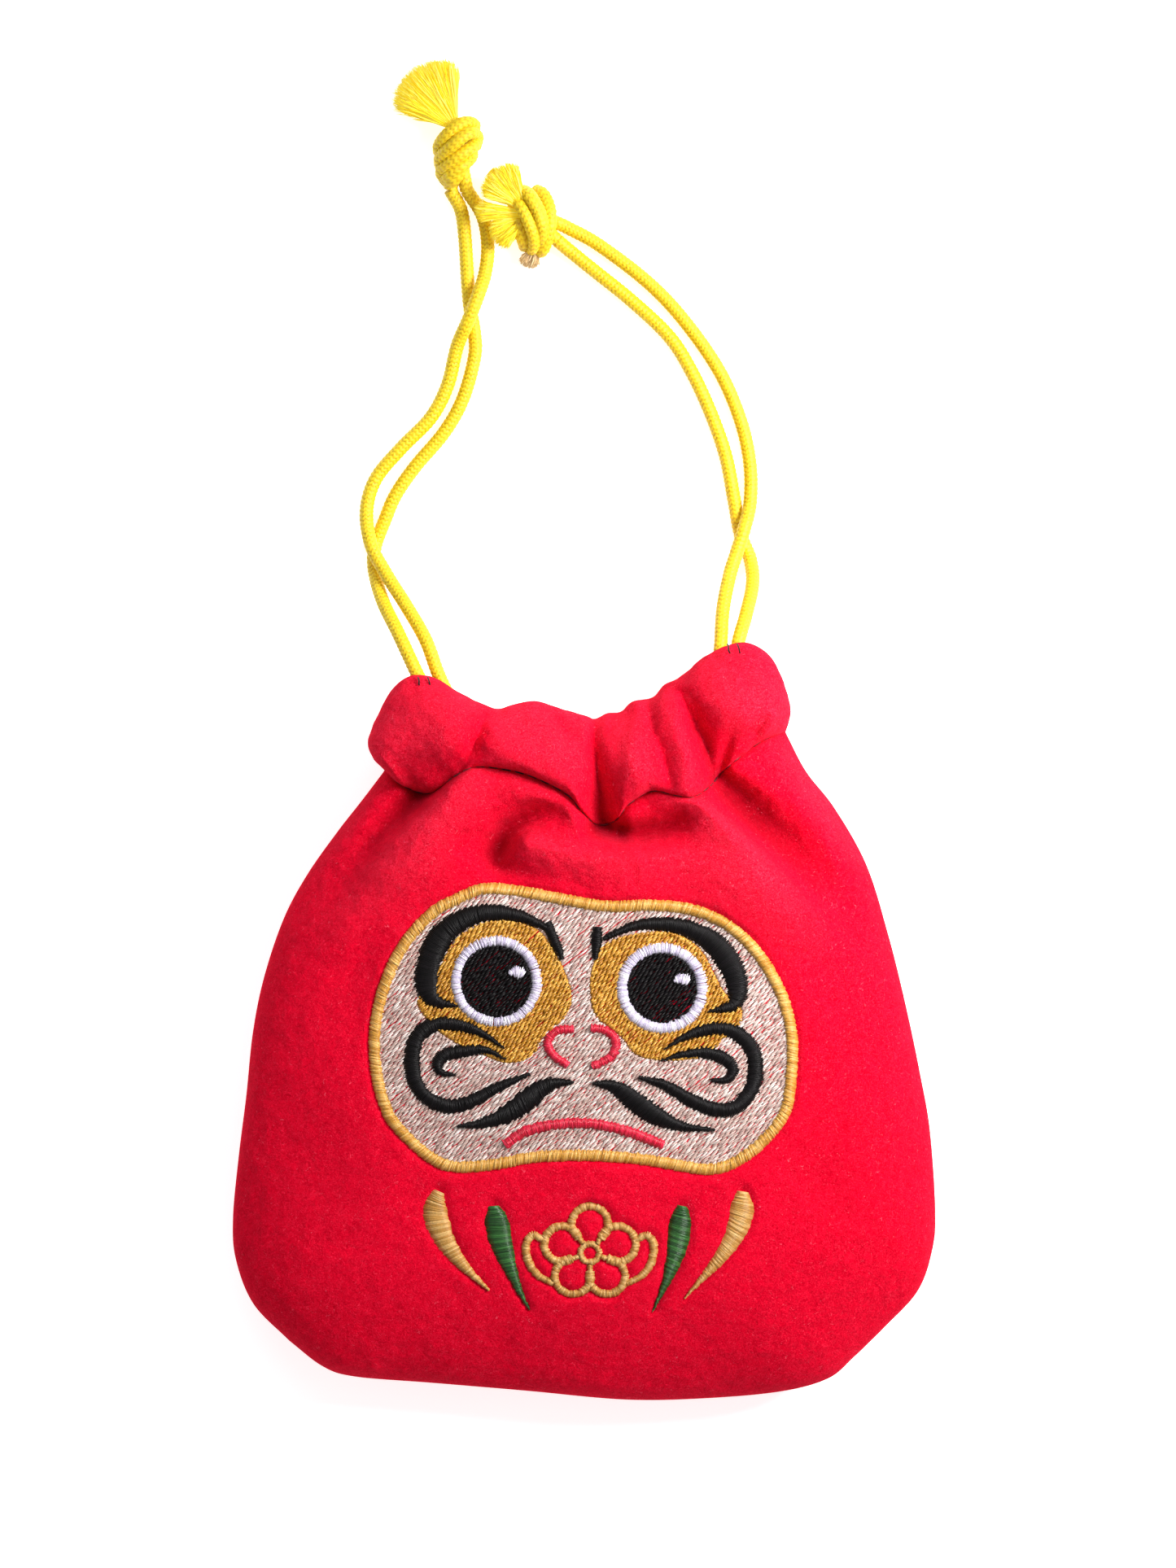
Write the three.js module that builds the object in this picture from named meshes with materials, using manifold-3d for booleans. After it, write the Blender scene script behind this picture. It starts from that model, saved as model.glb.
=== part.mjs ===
// Drawstring pouch with an embroidered daruma face, lying flat on its back.
// Millimetres. +X is the pouch's right, +Y runs from the base to the gathered mouth and
// +Z points up out of the face. The origin is on the surface it lies on, under the middle
// of the bag. Each sewn, embroidered or corded piece is one closed solid of its own.
import * as THREE from 'three';
import { mergeVertices } from 'three/addons/utils/BufferGeometryUtils.js';
import Module from 'manifold-3d';

const wasm = await Module();
wasm.setup();

// ---- driving dimensions ----
const GAP = 0.3;                 // clearance between pieces that touch in the real pouch
const FLEECE = 2;                // fleece wall
const LINING = 0.8;              // cotton lining
const BACKING = 0.6;             // stabiliser behind the embroidery
const THREAD = 0.4;              // height of one layer of embroidery
const SEAM_HEIGHT = 12;          // side seam above the surface
const CROWN = 18;                // rise of the front panel above the side seam
const CROWN_POWER = 2.5;
const FLAT_BACK = 0.7;           // share of the back that rests flat
const CORD = 2.8;                // drawcord diameter
const CORD_SIDES = 8;
const CORD_STEP = 7;             // spacing of the drawcord's sections
const CASING_HALF_LENGTH = 42;
const CASING_HALF_HEIGHT = 10;
const CASING_HALF_DEPTH = 5.4;
const FRONT_CASING_Z = 23.6;
const BACK_CASING_Z = 6;
const MOUTH_Z = 14.8;            // mid height of the mouth, where the drawcords come out
const LAYER_SEGMENTS = 36;
const LAYER_RINGS = [0, 0.45, 0.7, 0.85, 0.95, 1];
const PRISM_TOP = 60;

// ---- colours ----
const RED_FLEECE = 0xe8002d;
const RED_LINING = 0xc01030;
const RED_THREAD = 0x8c0a1c;
const WHITE_FELT = 0xf0eeea;
const YELLOW_CORD = 0xffe81a;
const GOLD_THREAD = 0xe8a531;
const PALE_GOLD = 0xd9a441;
const FACE_THREAD = 0xe3c7c0;
const ORANGE_THREAD = 0xc98a1a;
const BLACK_THREAD = 0x1a1418;
const LAVENDER_THREAD = 0xe6dcf0;
const CRIMSON_THREAD = 0xd81e3c;
const GREEN_THREAD = 0x2e6b2a;

const pouch = new THREE.Group();

function addPiece(name, geometry, color, roughness = 0.85) {
  const material = new THREE.MeshStandardMaterial({ color, roughness, metalness: 0 });
  const mesh = new THREE.Mesh(geometry, material);
  mesh.name = name;
  pouch.add(mesh);
}

// ---- solids and booleans ----
function toSolid(geometry) {
  const bare = geometry.clone();
  bare.deleteAttribute('normal');
  bare.deleteAttribute('uv');
  const merged = mergeVertices(bare, 1e-4);
  const faces = [];
  const index = merged.index.array;
  for (let i = 0; i < index.length; i += 3) {
    const [a, b, c] = [index[i], index[i + 1], index[i + 2]];
    if (a !== b && b !== c && c !== a) {
      faces.push(a, b, c);
    }
  }
  const vertProperties = new Float32Array(merged.attributes.position.array);
  const mesh = new wasm.Mesh({ numProp: 3, vertProperties, triVerts: new Uint32Array(faces) });
  return new wasm.Manifold(mesh);
}

function toGeometry(solid) {
  const mesh = solid.getMesh();
  const geometry = new THREE.BufferGeometry();
  geometry.setAttribute('position', new THREE.BufferAttribute(mesh.vertProperties, mesh.numProp));
  geometry.setIndex(new THREE.BufferAttribute(mesh.triVerts, 1));
  return geometry;
}

function moveVertices(geometry, move) {
  const position = geometry.attributes.position;
  const point = new THREE.Vector3();
  for (let i = 0; i < position.count; i += 1) {
    point.fromBufferAttribute(position, i);
    move(point);
    position.setXYZ(i, point.x, point.y, point.z);
  }
  return geometry;
}

// ---- the bag's outline and the heights of its two panels ----
const BAG_CENTRE = new THREE.Vector2(0, -15);
// Panel outline seen from the face, counter-clockwise from the base. It runs on past the
// casing seam, where the panels are cut.
const BAG_OUTLINE = [
  [0, -76.6], [25, -76.9], [46, -74.6], [60, -64], [70.2, -51], [72, -38], [69.6, -14],
  [64.6, 11], [57.5, 33], [47, 50], [44, 64], [38, 80], [0, 90], [-38, 80], [-42.5, 62],
  [-44.5, 47], [-56.5, 31], [-65, 12], [-68.4, -8], [-71.8, -38], [-70.8, -51],
  [-60.5, -65], [-48, -72.2], [-25, -74.6],
];

function smoothLoop(points, samples) {
  const corners = points.map(([x, y]) => new THREE.Vector3(x, y, 0));
  const curve = new THREE.CatmullRomCurve3(corners, true, 'centripetal');
  return curve.getPoints(samples).slice(0, -1);
}

const outlineSamples = smoothLoop(BAG_OUTLINE, 240).map((point) => ({
  angle: Math.atan2(point.y - BAG_CENTRE.y, point.x - BAG_CENTRE.x),
  radius: Math.hypot(point.x - BAG_CENTRE.x, point.y - BAG_CENTRE.y),
}));
outlineSamples.sort((a, b) => a.angle - b.angle);

function outlineRadius(angle) {
  const count = outlineSamples.length;
  let next = outlineSamples.findIndex((sample) => sample.angle > angle);
  next = next < 0 ? 0 : next;
  const before = outlineSamples[(next + count - 1) % count];
  const after = outlineSamples[next];
  const turn = 2 * Math.PI;
  const span = (after.angle - before.angle + turn) % turn;
  const along = ((angle - before.angle + turn) % turn) / span;
  return before.radius + (after.radius - before.radius) * along;
}

// 0 at the bag's centre and 1 on its outline
function reach(x, y) {
  const [dx, dy] = [x - BAG_CENTRE.x, y - BAG_CENTRE.y];
  return Math.hypot(dx, dy) / outlineRadius(Math.atan2(dy, dx));
}

function frontOuter(share) {
  return SEAM_HEIGHT + GAP / 2 + FLEECE + CROWN * (1 - share ** CROWN_POWER);
}

function backOuter(share) {
  const curl = Math.max(0, (share - FLAT_BACK) / (1 - FLAT_BACK));
  return (SEAM_HEIGHT - GAP / 2 - FLEECE) * curl ** 2;
}

// A closed sheet between two offsets from a panel's outer face, out to the last of its rings.
function sheetLayer(outerHeight, low, high, rings = LAYER_RINGS) {
  const under = rings.map((share) => new THREE.Vector2(share, 0));
  const over = rings.map((share) => new THREE.Vector2(share, 1)).reverse();
  const sheet = new THREE.LatheGeometry([...under, ...over], LAYER_SEGMENTS);
  sheet.rotateX(Math.PI / 2);
  moveVertices(sheet, (point) => {
    const share = Math.hypot(point.x, point.y);
    const angle = Math.atan2(point.y, point.x);
    const radius = share * outlineRadius(angle);
    const side = point.z > 0.5 ? high : low;
    point.set(
      BAG_CENTRE.x + radius * Math.cos(angle),
      BAG_CENTRE.y + radius * Math.sin(angle),
      outerHeight(share) + side,
    );
  });
  return toSolid(sheet);
}

// An upright block of a flat outline, used to cut shapes out of a sheet.
function prism(outline) {
  const shape = new THREE.Shape(outline.map(([x, y]) => new THREE.Vector2(x, y)));
  const block = new THREE.ExtrudeGeometry(shape, { depth: PRISM_TOP, bevelEnabled: false });
  return toSolid(block);
}

function circle(x, y, radius, sides = 16) {
  const points = [];
  for (let i = 0; i < sides; i += 1) {
    const turn = (i / sides) * 2 * Math.PI;
    points.push([x + radius * Math.cos(turn), y + radius * Math.sin(turn)]);
  }
  return points;
}

// ---- casings: two gathered channels of fleece along the mouth ----
const casingLine = new THREE.SplineCurve([
  [-42, 57.5], [-34, 60.4], [-12, 57], [2, 53.5], [12, 56.5], [24, 62.6], [34, 68], [42, 65.4],
].map(([x, y]) => new THREE.Vector2(x, y)));
const PLEATS = [-21, 3, 14, 25];
const PLEAT_WIDTH = 3;
const PLEAT_DEPTH = 0.16;
const CHANNEL_WALL = 1.6;

function casingCentre(x) {
  return casingLine.getPoint((x + CASING_HALF_LENGTH) / (2 * CASING_HALF_LENGTH)).y;
}

function casingFullness(x) {
  const pinch = PLEATS.reduce((sum, at) => sum + Math.exp(-(((x - at) / PLEAT_WIDTH) ** 2)), 0);
  const taper = 0.28 * (Math.abs(x) / CASING_HALF_LENGTH) ** 6;
  return 1 - PLEAT_DEPTH * pinch - taper;
}

function ellipse(halfWidth, halfHeight, sides) {
  const points = [];
  for (let i = 0; i < sides; i += 1) {
    const turn = (i / sides) * 2 * Math.PI;
    points.push(new THREE.Vector2(halfWidth * Math.cos(turn), halfHeight * Math.sin(turn)));
  }
  return points;
}

function casing(centreZ) {
  const section = new THREE.Shape(ellipse(CASING_HALF_HEIGHT, CASING_HALF_DEPTH, 12));
  const channel = ellipse(CASING_HALF_HEIGHT - FLEECE, CASING_HALF_DEPTH - CHANNEL_WALL, 8);
  section.holes = [new THREE.Path(channel)];
  const tube = new THREE.ExtrudeGeometry(section, {
    depth: 2 * CASING_HALF_LENGTH,
    steps: 20,
    bevelEnabled: false,
  });
  return moveVertices(tube, (point) => {
    const x = point.z - CASING_HALF_LENGTH;
    const fullness = casingFullness(x);
    const y = casingCentre(x) + point.x * fullness;
    point.set(x, y, centreZ + point.y * fullness);
  });
}

// Everything on the bag's side of a line that runs a margin below the casings.
function bagSide(margin) {
  const line = [];
  for (let x = -80; x <= 80; x += 4) {
    const within = THREE.MathUtils.clamp(x, -CASING_HALF_LENGTH, CASING_HALF_LENGTH);
    line.push([x, casingCentre(within) - CASING_HALF_HEIGHT - margin]);
  }
  return prism([...line, [80, -90], [-80, -90]].reverse());
}

// ---- fleece panels, lining and backing ----
const belowSeam = bagSide(GAP);
const LINING_MARGIN = 4;
const belowHem = bagSide(LINING_MARGIN);
const LINING_RINGS = LAYER_RINGS.slice(0, -1);

function shell(outerHeight, low) {
  return toGeometry(sheetLayer(outerHeight, low, low + FLEECE).intersect(belowSeam));
}

function lining(outerHeight, low) {
  return toGeometry(sheetLayer(outerHeight, low, low + LINING, LINING_RINGS).intersect(belowHem));
}

const BACKING_TOP = -FLEECE - GAP;
const FRONT_LINING_TOP = BACKING_TOP - BACKING - GAP;
addPiece('front_shell', shell(frontOuter, -FLEECE), RED_FLEECE, 1);
addPiece('back_shell', shell(backOuter, 0), RED_FLEECE, 1);
addPiece('front_lining', lining(frontOuter, FRONT_LINING_TOP - LINING), RED_LINING);
addPiece('back_lining', lining(backOuter, FLEECE + GAP), RED_LINING);
const backingSheet = sheetLayer(frontOuter, BACKING_TOP - BACKING, BACKING_TOP);
const backingOutline = circle(0, 0, 1, 20).map(([x, y]) => [49 * x, -13 + 47 * y]);
addPiece('embroidery_backing', toGeometry(backingSheet.intersect(prism(backingOutline))), WHITE_FELT);

addPiece('front_casing', casing(FRONT_CASING_Z), RED_FLEECE, 1);
addPiece('back_casing', casing(BACK_CASING_Z), RED_FLEECE, 1);

// ---- seams and stitches ----
function tube(points, diameter, sides, step) {
  const path = new THREE.CatmullRomCurve3(
    points.map(([x, y, z]) => new THREE.Vector3(x, y, z)),
    false,
    'centripetal',
  );
  const section = new THREE.Shape(ellipse(diameter / 2, diameter / 2, sides));
  return new THREE.ExtrudeGeometry(section, {
    steps: Math.round(path.getLength() / step),
    extrudePath: path,
    bevelEnabled: false,
  });
}

const SEAM_THREAD = 0.8;
const SEAM_INSET = 1.9;
const sideSeam = [];
for (let turn = 128; turn <= 412; turn += 4) {
  const angle = THREE.MathUtils.degToRad(turn);
  const radius = outlineRadius(Math.atan2(Math.sin(angle), Math.cos(angle))) - SEAM_INSET;
  sideSeam.push([
    BAG_CENTRE.x + radius * Math.cos(angle),
    BAG_CENTRE.y + radius * Math.sin(angle),
    SEAM_HEIGHT,
  ]);
}
addPiece('side_seam_thread', tube(sideSeam, SEAM_THREAD, 6, 9), RED_THREAD);

// The casing stitches run just below the casings: along the face of the front panel and
// along the inside of the back panel.
const STITCH = 0.7;
const STITCH_INSET = 1.8;
function casingStitch(outerHeight, offset) {
  const points = [];
  for (let x = -36; x <= 36; x += 6) {
    const y = casingCentre(x) - CASING_HALF_HEIGHT - STITCH_INSET;
    points.push([x, y, outerHeight(reach(x, y)) + offset]);
  }
  return tube(points, STITCH, 6, 6);
}
addPiece('front_casing_stitch', casingStitch(frontOuter, 0.9), RED_THREAD);
addPiece('back_casing_stitch', casingStitch(backOuter, FLEECE + 1.5), RED_THREAD);

// A bar tack closes the casing just beside each cord exit.
function barTack(x, y, z) {
  const tack = new THREE.BoxGeometry(4.5, 0.8, 0.6);
  return tack.translate(x, y, z);
}
addPiece('left_bar_tack', barTack(-37.5, 58, MOUTH_Z), BLACK_THREAD);
addPiece('right_bar_tack', barTack(35.5, 64, MOUTH_Z), BLACK_THREAD);

// ---- embroidery ----
// Each motif is cut out of a thin sheet that follows the front panel. Later threads lie on
// earlier ones, so every layer sits one thread and one gap higher.
function threadLayer(level) {
  const low = GAP + (level - 1) * (THREAD + GAP);
  return sheetLayer(frontOuter, low, low + THREAD);
}
const threadLayers = [1, 2, 3, 4].map(threadLayer);

function embroider(name, level, solid, color) {
  addPiece(name, toGeometry(threadLayers[level - 1].intersect(solid)), color, 0.55);
}

// A stroke of satin stitch: points are [x, y, width].
function stroke(points, perPoint = 1) {
  const curve = new THREE.CatmullRomCurve3(
    points.map(([x, y, width]) => new THREE.Vector3(x, y, width)),
    false,
    'centripetal',
  );
  const count = (points.length - 1) * perPoint;
  const left = [];
  const right = [];
  for (let i = 0; i <= count; i += 1) {
    const at = curve.getPoint(i / count);
    const heading = curve.getTangent(i / count);
    const length = Math.hypot(heading.x, heading.y);
    const half = Math.max(at.z, 0.3) / 2;
    const [nx, ny] = [(-heading.y / length) * half, (heading.x / length) * half];
    left.push([at.x + nx, at.y + ny]);
    right.push([at.x - nx, at.y - ny]);
  }
  return prism([...right, ...left.reverse()]);
}

function loop(points, samples) {
  return smoothLoop(points, samples).map((point) => [point.x, point.y]);
}

function mirrored(points) {
  return points.map(([x, ...rest]) => [-x, ...rest]);
}

const BORDER_WIDTH = 3;
const FACE_OUTLINE = [
  [-20.6, 28.9], [-31.4, 23.9], [-41.4, 9.1], [-43.6, -5], [-40.9, -18.3], [-31.4, -28.1],
  [-17.8, -29.3], [1.4, -27.5], [18.1, -29.3], [31.1, -28.8], [41.9, -17.8], [43.5, -4.5],
  [40.6, 7.9], [29.9, 21.3], [13.3, 25.6], [4.4, 25.4], [-12.9, 28.4],
];
const FACE_CENTRE = [0, -1.5];

function shrink(outline, inset) {
  return outline.map(([x, y]) => {
    const [dx, dy] = [x - FACE_CENTRE[0], y - FACE_CENTRE[1]];
    const scale = 1 - inset / Math.hypot(dx, dy);
    return [FACE_CENTRE[0] + dx * scale, FACE_CENTRE[1] + dy * scale];
  });
}

const faceOuter = prism(loop(FACE_OUTLINE, 32));
const faceInner = prism(loop(shrink(FACE_OUTLINE, BORDER_WIDTH), 32));
const faceGround = prism(loop(shrink(FACE_OUTLINE, BORDER_WIDTH + GAP), 32));
embroider('face_border', 1, faceOuter.subtract(faceInner), GOLD_THREAD);
embroider('face_ground', 1, faceGround, FACE_THREAD);

const LEFT_SOCKET = [
  [-15.3, 21.5], [-9.3, 19.5], [-5.2, 13.9], [-2.5, 6.7], [-3.7, 2], [-8.2, -2.2],
  [-15.6, -7.7], [-22.4, -5.2], [-31, 0.5], [-33.5, 5.8], [-26.6, 16.9], [-21.3, 20.7],
];
const RIGHT_SOCKET = [
  [13.3, 19.2], [5.5, 17.4], [2, 13.3], [1.1, 7.3], [2.3, 2], [7.3, -2.2], [15.7, -7.1],
  [24, -6.4], [30, -0.5], [31.7, 4.1], [24, 15.1], [19.2, 18.6],
];
const LEFT_BROW = [
  [-7.3, 19.9, 1.2], [-12.9, 22.2, 2.1], [-20.1, 22.9, 3], [-26, 20.7, 3.6],
  [-31.4, 13, 4.2], [-32, 8.5, 4.2], [-30.5, 5.2, 2.7], [-25.7, 3.9, 0.4],
];
const LEFT_BROW_HOOK = [[-7.6, 20.6, 1.8], [-6, 17.2, 1.5], [-4.6, 13.9, 1.2]];
const RIGHT_BROW = [
  [2.6, 17.6, 0.9], [10.3, 20.3, 1.7], [16.3, 20.6, 2.4], [21.6, 19.5, 3],
  [29.6, 12.4, 4.2], [31.1, 7.9, 3.6], [30.2, 4.3, 2.4], [25.2, 2.9, 0.5],
];
const RIGHT_BROW_HOOK = [[2.7, 19.8, 1.7], [2.5, 16.7, 1.6], [2.3, 13.6, 1]];
const OUTER_SWIRL = [
  [-16.2, -4.6, 0.4], [-20.6, -1.9, 1.5], [-25.3, -0.3, 2.3], [-30.1, -0.4, 2.5],
  [-33.9, -3.2, 2.7], [-34.7, -8.8, 2.7], [-31.4, -15, 2.5], [-25.8, -16.6, 2.4],
  [-19.8, -14, 2], [-11.2, -10.1, 0.6],
];
const INNER_SWIRL = [
  [-15.8, -6.8, 0.4], [-20.2, -5.3, 1.2], [-24.7, -5.4, 1.8], [-28.9, -6.8, 1.8],
  [-29.9, -8.9, 1.5], [-26.5, -10.4, 0.6],
];
const MOUSTACHE = [
  [-2, -11.5, 0.6], [-6.6, -12.2, 2.4], [-10.8, -15, 3.6], [-15, -18, 3.3],
  [-20.3, -20.1, 1.8], [-26, -20.8, 0.4],
];
const NOSTRIL = [
  [-1.9, -0.6, 1.5], [-4.8, -0.9, 1.5], [-6.8, -3, 1.5], [-6.1, -5.8, 1.5], [-2.8, -8.1, 1.5],
];
const MOUTH = [
  [-16, -24.1, 1.8], [-12.3, -21.7, 1.8], [-6, -20, 1.8], [0, -19.7, 1.8],
  [6, -20.5, 1.8], [10.8, -22, 1.8], [16, -24.2, 1.8],
];
const GOLD_LEAF = [
  [-30.8, -33.9, 2], [-31, -38, 4.9], [-28.4, -43.4, 4.2], [-24.5, -49, 2.2],
  [-19.9, -54.6, 0.5],
];
const GREEN_LEAF = [
  [-19.1, -36.8, 2], [-18.4, -41, 4.7], [-16.9, -46.8, 3.6], [-14.8, -52, 1.9],
  [-12.4, -58, 0.4],
];

embroider('left_eye_socket', 2, prism(loop(LEFT_SOCKET, 18)), ORANGE_THREAD);
embroider('right_eye_socket', 2, prism(loop(RIGHT_SOCKET, 18).reverse()), ORANGE_THREAD);
embroider('left_brow', 3, stroke(LEFT_BROW).add(stroke(LEFT_BROW_HOOK)), BLACK_THREAD);
embroider('right_brow', 3, stroke(RIGHT_BROW).add(stroke(RIGHT_BROW_HOOK)), BLACK_THREAD);

const EYES = {
  left: { x: -17.8, y: 9, pupil: 7.2, ring: 9.3, glint: [-13.6, 10.8] },
  right: { x: 15.8, y: 7.7, pupil: 7, ring: 9.3, glint: [19.8, 9.4] },
};
const GLINT_RADIUS = 1.4;
for (const [side, eye] of Object.entries(EYES)) {
  const iris = prism(circle(eye.x, eye.y, eye.ring)).subtract(
    prism(circle(eye.x, eye.y, eye.pupil)),
  );
  embroider(`${side}_eye_ring`, 3, iris, LAVENDER_THREAD);
  embroider(`${side}_pupil`, 3, prism(circle(eye.x, eye.y, eye.pupil - GAP)), BLACK_THREAD);
  embroider(`${side}_eye_glint`, 4, prism(circle(...eye.glint, GLINT_RADIUS, 10)), LAVENDER_THREAD);
}

const PAIRED_MOTIFS = [
  ['outer_swirl', 3, OUTER_SWIRL, BLACK_THREAD],
  ['inner_swirl', 3, INNER_SWIRL, BLACK_THREAD],
  ['moustache', 2, MOUSTACHE, BLACK_THREAD],
  ['nostril', 3, NOSTRIL, CRIMSON_THREAD],
  ['gold_leaf', 1, GOLD_LEAF, PALE_GOLD],
  ['green_leaf', 1, GREEN_LEAF, GREEN_THREAD],
];
for (const [motif, level, points, color] of PAIRED_MOTIFS) {
  embroider(`left_${motif}`, level, stroke(points), color);
  embroider(`right_${motif}`, level, stroke(mirrored(points)), color);
}
embroider('mouth', 2, stroke(MOUTH), CRIMSON_THREAD);

// Plum-blossom ornament in one run of gold satin stitch: five round petals, a centre ring
// and a small curl on each side.
const BLOSSOM = { x: 1.2, y: -46.2, petals: 5, spread: 5.7, petal: 3.9, line: 1.5, heart: 1.9 };

function ring(x, y, radius, sides) {
  const half = BLOSSOM.line / 2;
  return prism(circle(x, y, radius + half, sides)).subtract(
    prism(circle(x, y, radius - half, sides)),
  );
}

function blossom() {
  let ornament = ring(BLOSSOM.x, BLOSSOM.y, BLOSSOM.heart, 8);
  for (let i = 0; i < BLOSSOM.petals; i += 1) {
    const turn = Math.PI / 2 + (i / BLOSSOM.petals) * 2 * Math.PI;
    const [dx, dy] = [Math.cos(turn), Math.sin(turn)];
    const petalX = BLOSSOM.x + BLOSSOM.spread * dx;
    const petalY = BLOSSOM.y + BLOSSOM.spread * dy;
    ornament = ornament.add(ring(petalX, petalY, BLOSSOM.petal, 9));
  }
  for (const side of [-1, 1]) {
    const curl = [
      [8.8, 2.2, 1.3], [11.6, 3.4, 1.5], [13, 1.2, 1.5], [12.4, -2.4, 1.5], [10.2, -4.8, 1.2],
      [7.2, -6, 1.2],
    ];
    const placed = curl.map(([x, y, width]) => [BLOSSOM.x + side * x, BLOSSOM.y + y, width]);
    ornament = ornament.add(stroke(placed));
  }
  return ornament;
}
embroider('emblem', 1, blossom(), PALE_GOLD);

// ---- drawcords ----
const RUN_STEPS = 8;
const RUN_OFFSET = 2.1;
const TURN_REACH = 3.5;
const TURN_BULGE = 0.6;
const TURN_DROP = 4;

// The stretch of each cord that runs along one casing, round the far end and back along the
// other. The two cords lie side by side in the channels.
function cordRun(side) {
  const turnX = side * (CASING_HALF_LENGTH + TURN_REACH);
  const endX = -side * (CASING_HALF_LENGTH - 1);
  const shift = side * RUN_OFFSET;
  const points = [];
  for (let i = 0; i <= RUN_STEPS; i += 1) {
    const x = endX + (side * CASING_HALF_LENGTH - endX) * (i / RUN_STEPS);
    points.push([x, casingCentre(x) + shift, FRONT_CASING_Z]);
  }
  const turnY = casingCentre(side * CASING_HALF_LENGTH) + shift;
  points.push([turnX, turnY, FRONT_CASING_Z - TURN_DROP]);
  points.push([turnX + side * TURN_BULGE, turnY, MOUTH_Z]);
  points.push([turnX, turnY, BACK_CASING_Z + TURN_DROP]);
  for (let i = RUN_STEPS; i >= 0; i -= 1) {
    const x = endX + (side * CASING_HALF_LENGTH - endX) * (i / RUN_STEPS);
    points.push([x, casingCentre(x) + shift, BACK_CASING_Z]);
  }
  return tube(points, CORD, CORD_SIDES, CORD_STEP);
}
addPiece('left_cord_run', cordRun(1), YELLOW_CORD, 0.6);
addPiece('right_cord_run', cordRun(-1), YELLOW_CORD, 0.6);

// Free stretches, from inside the mouth, out over the end of the casing, down to the surface
// and along it to the knot. REST is the height of a cord that lies on the surface.
const REST = CORD / 2 + 0.1;
const FREE_CORDS = {
  left_strand_a: [
    [-26.6, 56.5, MOUTH_Z], [-30.4, 64, MOUTH_Z], [-34.1, 71.4, MOUTH_Z], [-37.9, 79.5, 12.4],
    [-41.4, 86.6, 7.2], [-43.2, 92.8, 2.6], [-43.2, 97.8, REST], [-41.1, 103.6, REST],
    [-38.9, 108.7, REST], [-34.9, 114.5, REST], [-28.9, 121.6, REST], [-25, 128.6, REST],
    [-22.6, 137.3, REST], [-22.7, 142.5, REST], [-23.6, 147.8, REST], [-24.1, 153.7, REST],
    [-24.6, 161.6, REST], [-25.4, 167.4, 1.8], [-27.6, 171.5, 3.4],
  ],
  left_strand_b: [
    [-22.1, 56.1, MOUTH_Z], [-25.9, 63.5, MOUTH_Z], [-29.6, 70.9, MOUTH_Z], [-32.5, 78.6, 13.2],
    [-36.6, 85.7, 9.4], [-40.6, 92, 6.3], [-43.9, 98.3, 4.9], [-44.9, 105.4, 2.4],
    [-43, 112, REST], [-37.9, 118.2, REST], [-31.7, 124.6, REST], [-28.2, 131.3, REST],
    [-26.2, 139.3, 2.2], [-23.9, 144.5, 4.4], [-21.9, 149.6, 4.6], [-20.4, 154.6, 2.4],
    [-19.9, 160.4, REST], [-21, 166.4, 1.8], [-24.2, 171.5, 3.4],
  ],
  right_strand_a: [
    [25.6, 59.5, MOUTH_Z], [26.8, 68.2, MOUTH_Z], [27.9, 76.9, MOUTH_Z], [28.5, 84.8, 11],
    [29.9, 91.9, 7.2], [31.4, 96.6, 5.4], [33, 101.6, 4.6], [34.3, 107.4, 2.4],
    [34.2, 115.5, REST], [32.2, 124.4, REST], [27.9, 134.3, REST], [20.9, 144.4, REST],
    [13.4, 152.4, REST], [3.2, 160.2, 1.8], [-3.4, 163.8, 2.6], [-5.9, 164.9, 3.4],
  ],
  right_strand_b: [
    [29.2, 60.2, MOUTH_Z], [30.4, 69, MOUTH_Z], [31.5, 77.6, MOUTH_Z], [33.2, 83.6, 11],
    [34.7, 90.2, 5.4], [34.3, 95.4, 2], [32.3, 100.6, REST], [30.9, 108.1, REST],
    [29.2, 116.9, REST], [26, 126, REST], [21.9, 134.7, REST], [17.4, 141.6, REST],
    [9.7, 148.9, REST], [1.6, 155.4, 1.7], [-3.4, 159.4, 2.4], [-5.6, 161.2, 3.2],
  ],
};
for (const [name, points] of Object.entries(FREE_CORDS)) {
  addPiece(name, tube(points, CORD, CORD_SIDES, CORD_STEP), YELLOW_CORD, 0.6);
}

// An overhand knot as three wraps of cord round a core, lying along +Y before it is turned.
function knot(length, width, height) {
  const waists = [[0, 0], [0.3, 0.5], [0.9, 0.62], [1, 0.7], [0.85, 0.95]];
  const profile = [];
  for (const [radius, along] of waists) {
    profile.push(new THREE.Vector2(radius, 0.5 * along));
  }
  const upper = profile.map((point) => new THREE.Vector2(point.x, 1 - point.y)).reverse();
  const barrel = new THREE.LatheGeometry([...profile, ...upper], 12);
  return moveVertices(barrel, (point) => {
    point.set(
      (point.x * width) / 2,
      (point.y - 0.5) * length,
      (point.z * height) / 2,
    );
  });
}

// A frayed end: a flattened fan of fibre from a narrow root, along +Y before it is turned.
function tassel(length, width, height, rootWidth) {
  const profile = [
    [0, 0], [rootWidth / 2, 0.02], [rootWidth / 2 + 0.8, 0.25], [width / 2, 0.75],
    [width / 2.2, 0.97], [0, 1],
  ].map(([radius, along]) => new THREE.Vector2(radius, along * length));
  const fan = new THREE.LatheGeometry(profile, 12);
  return moveVertices(fan, (point) => {
    const spread = THREE.MathUtils.lerp(1, height / width, point.y / length);
    point.z *= spread;
  });
}

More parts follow.
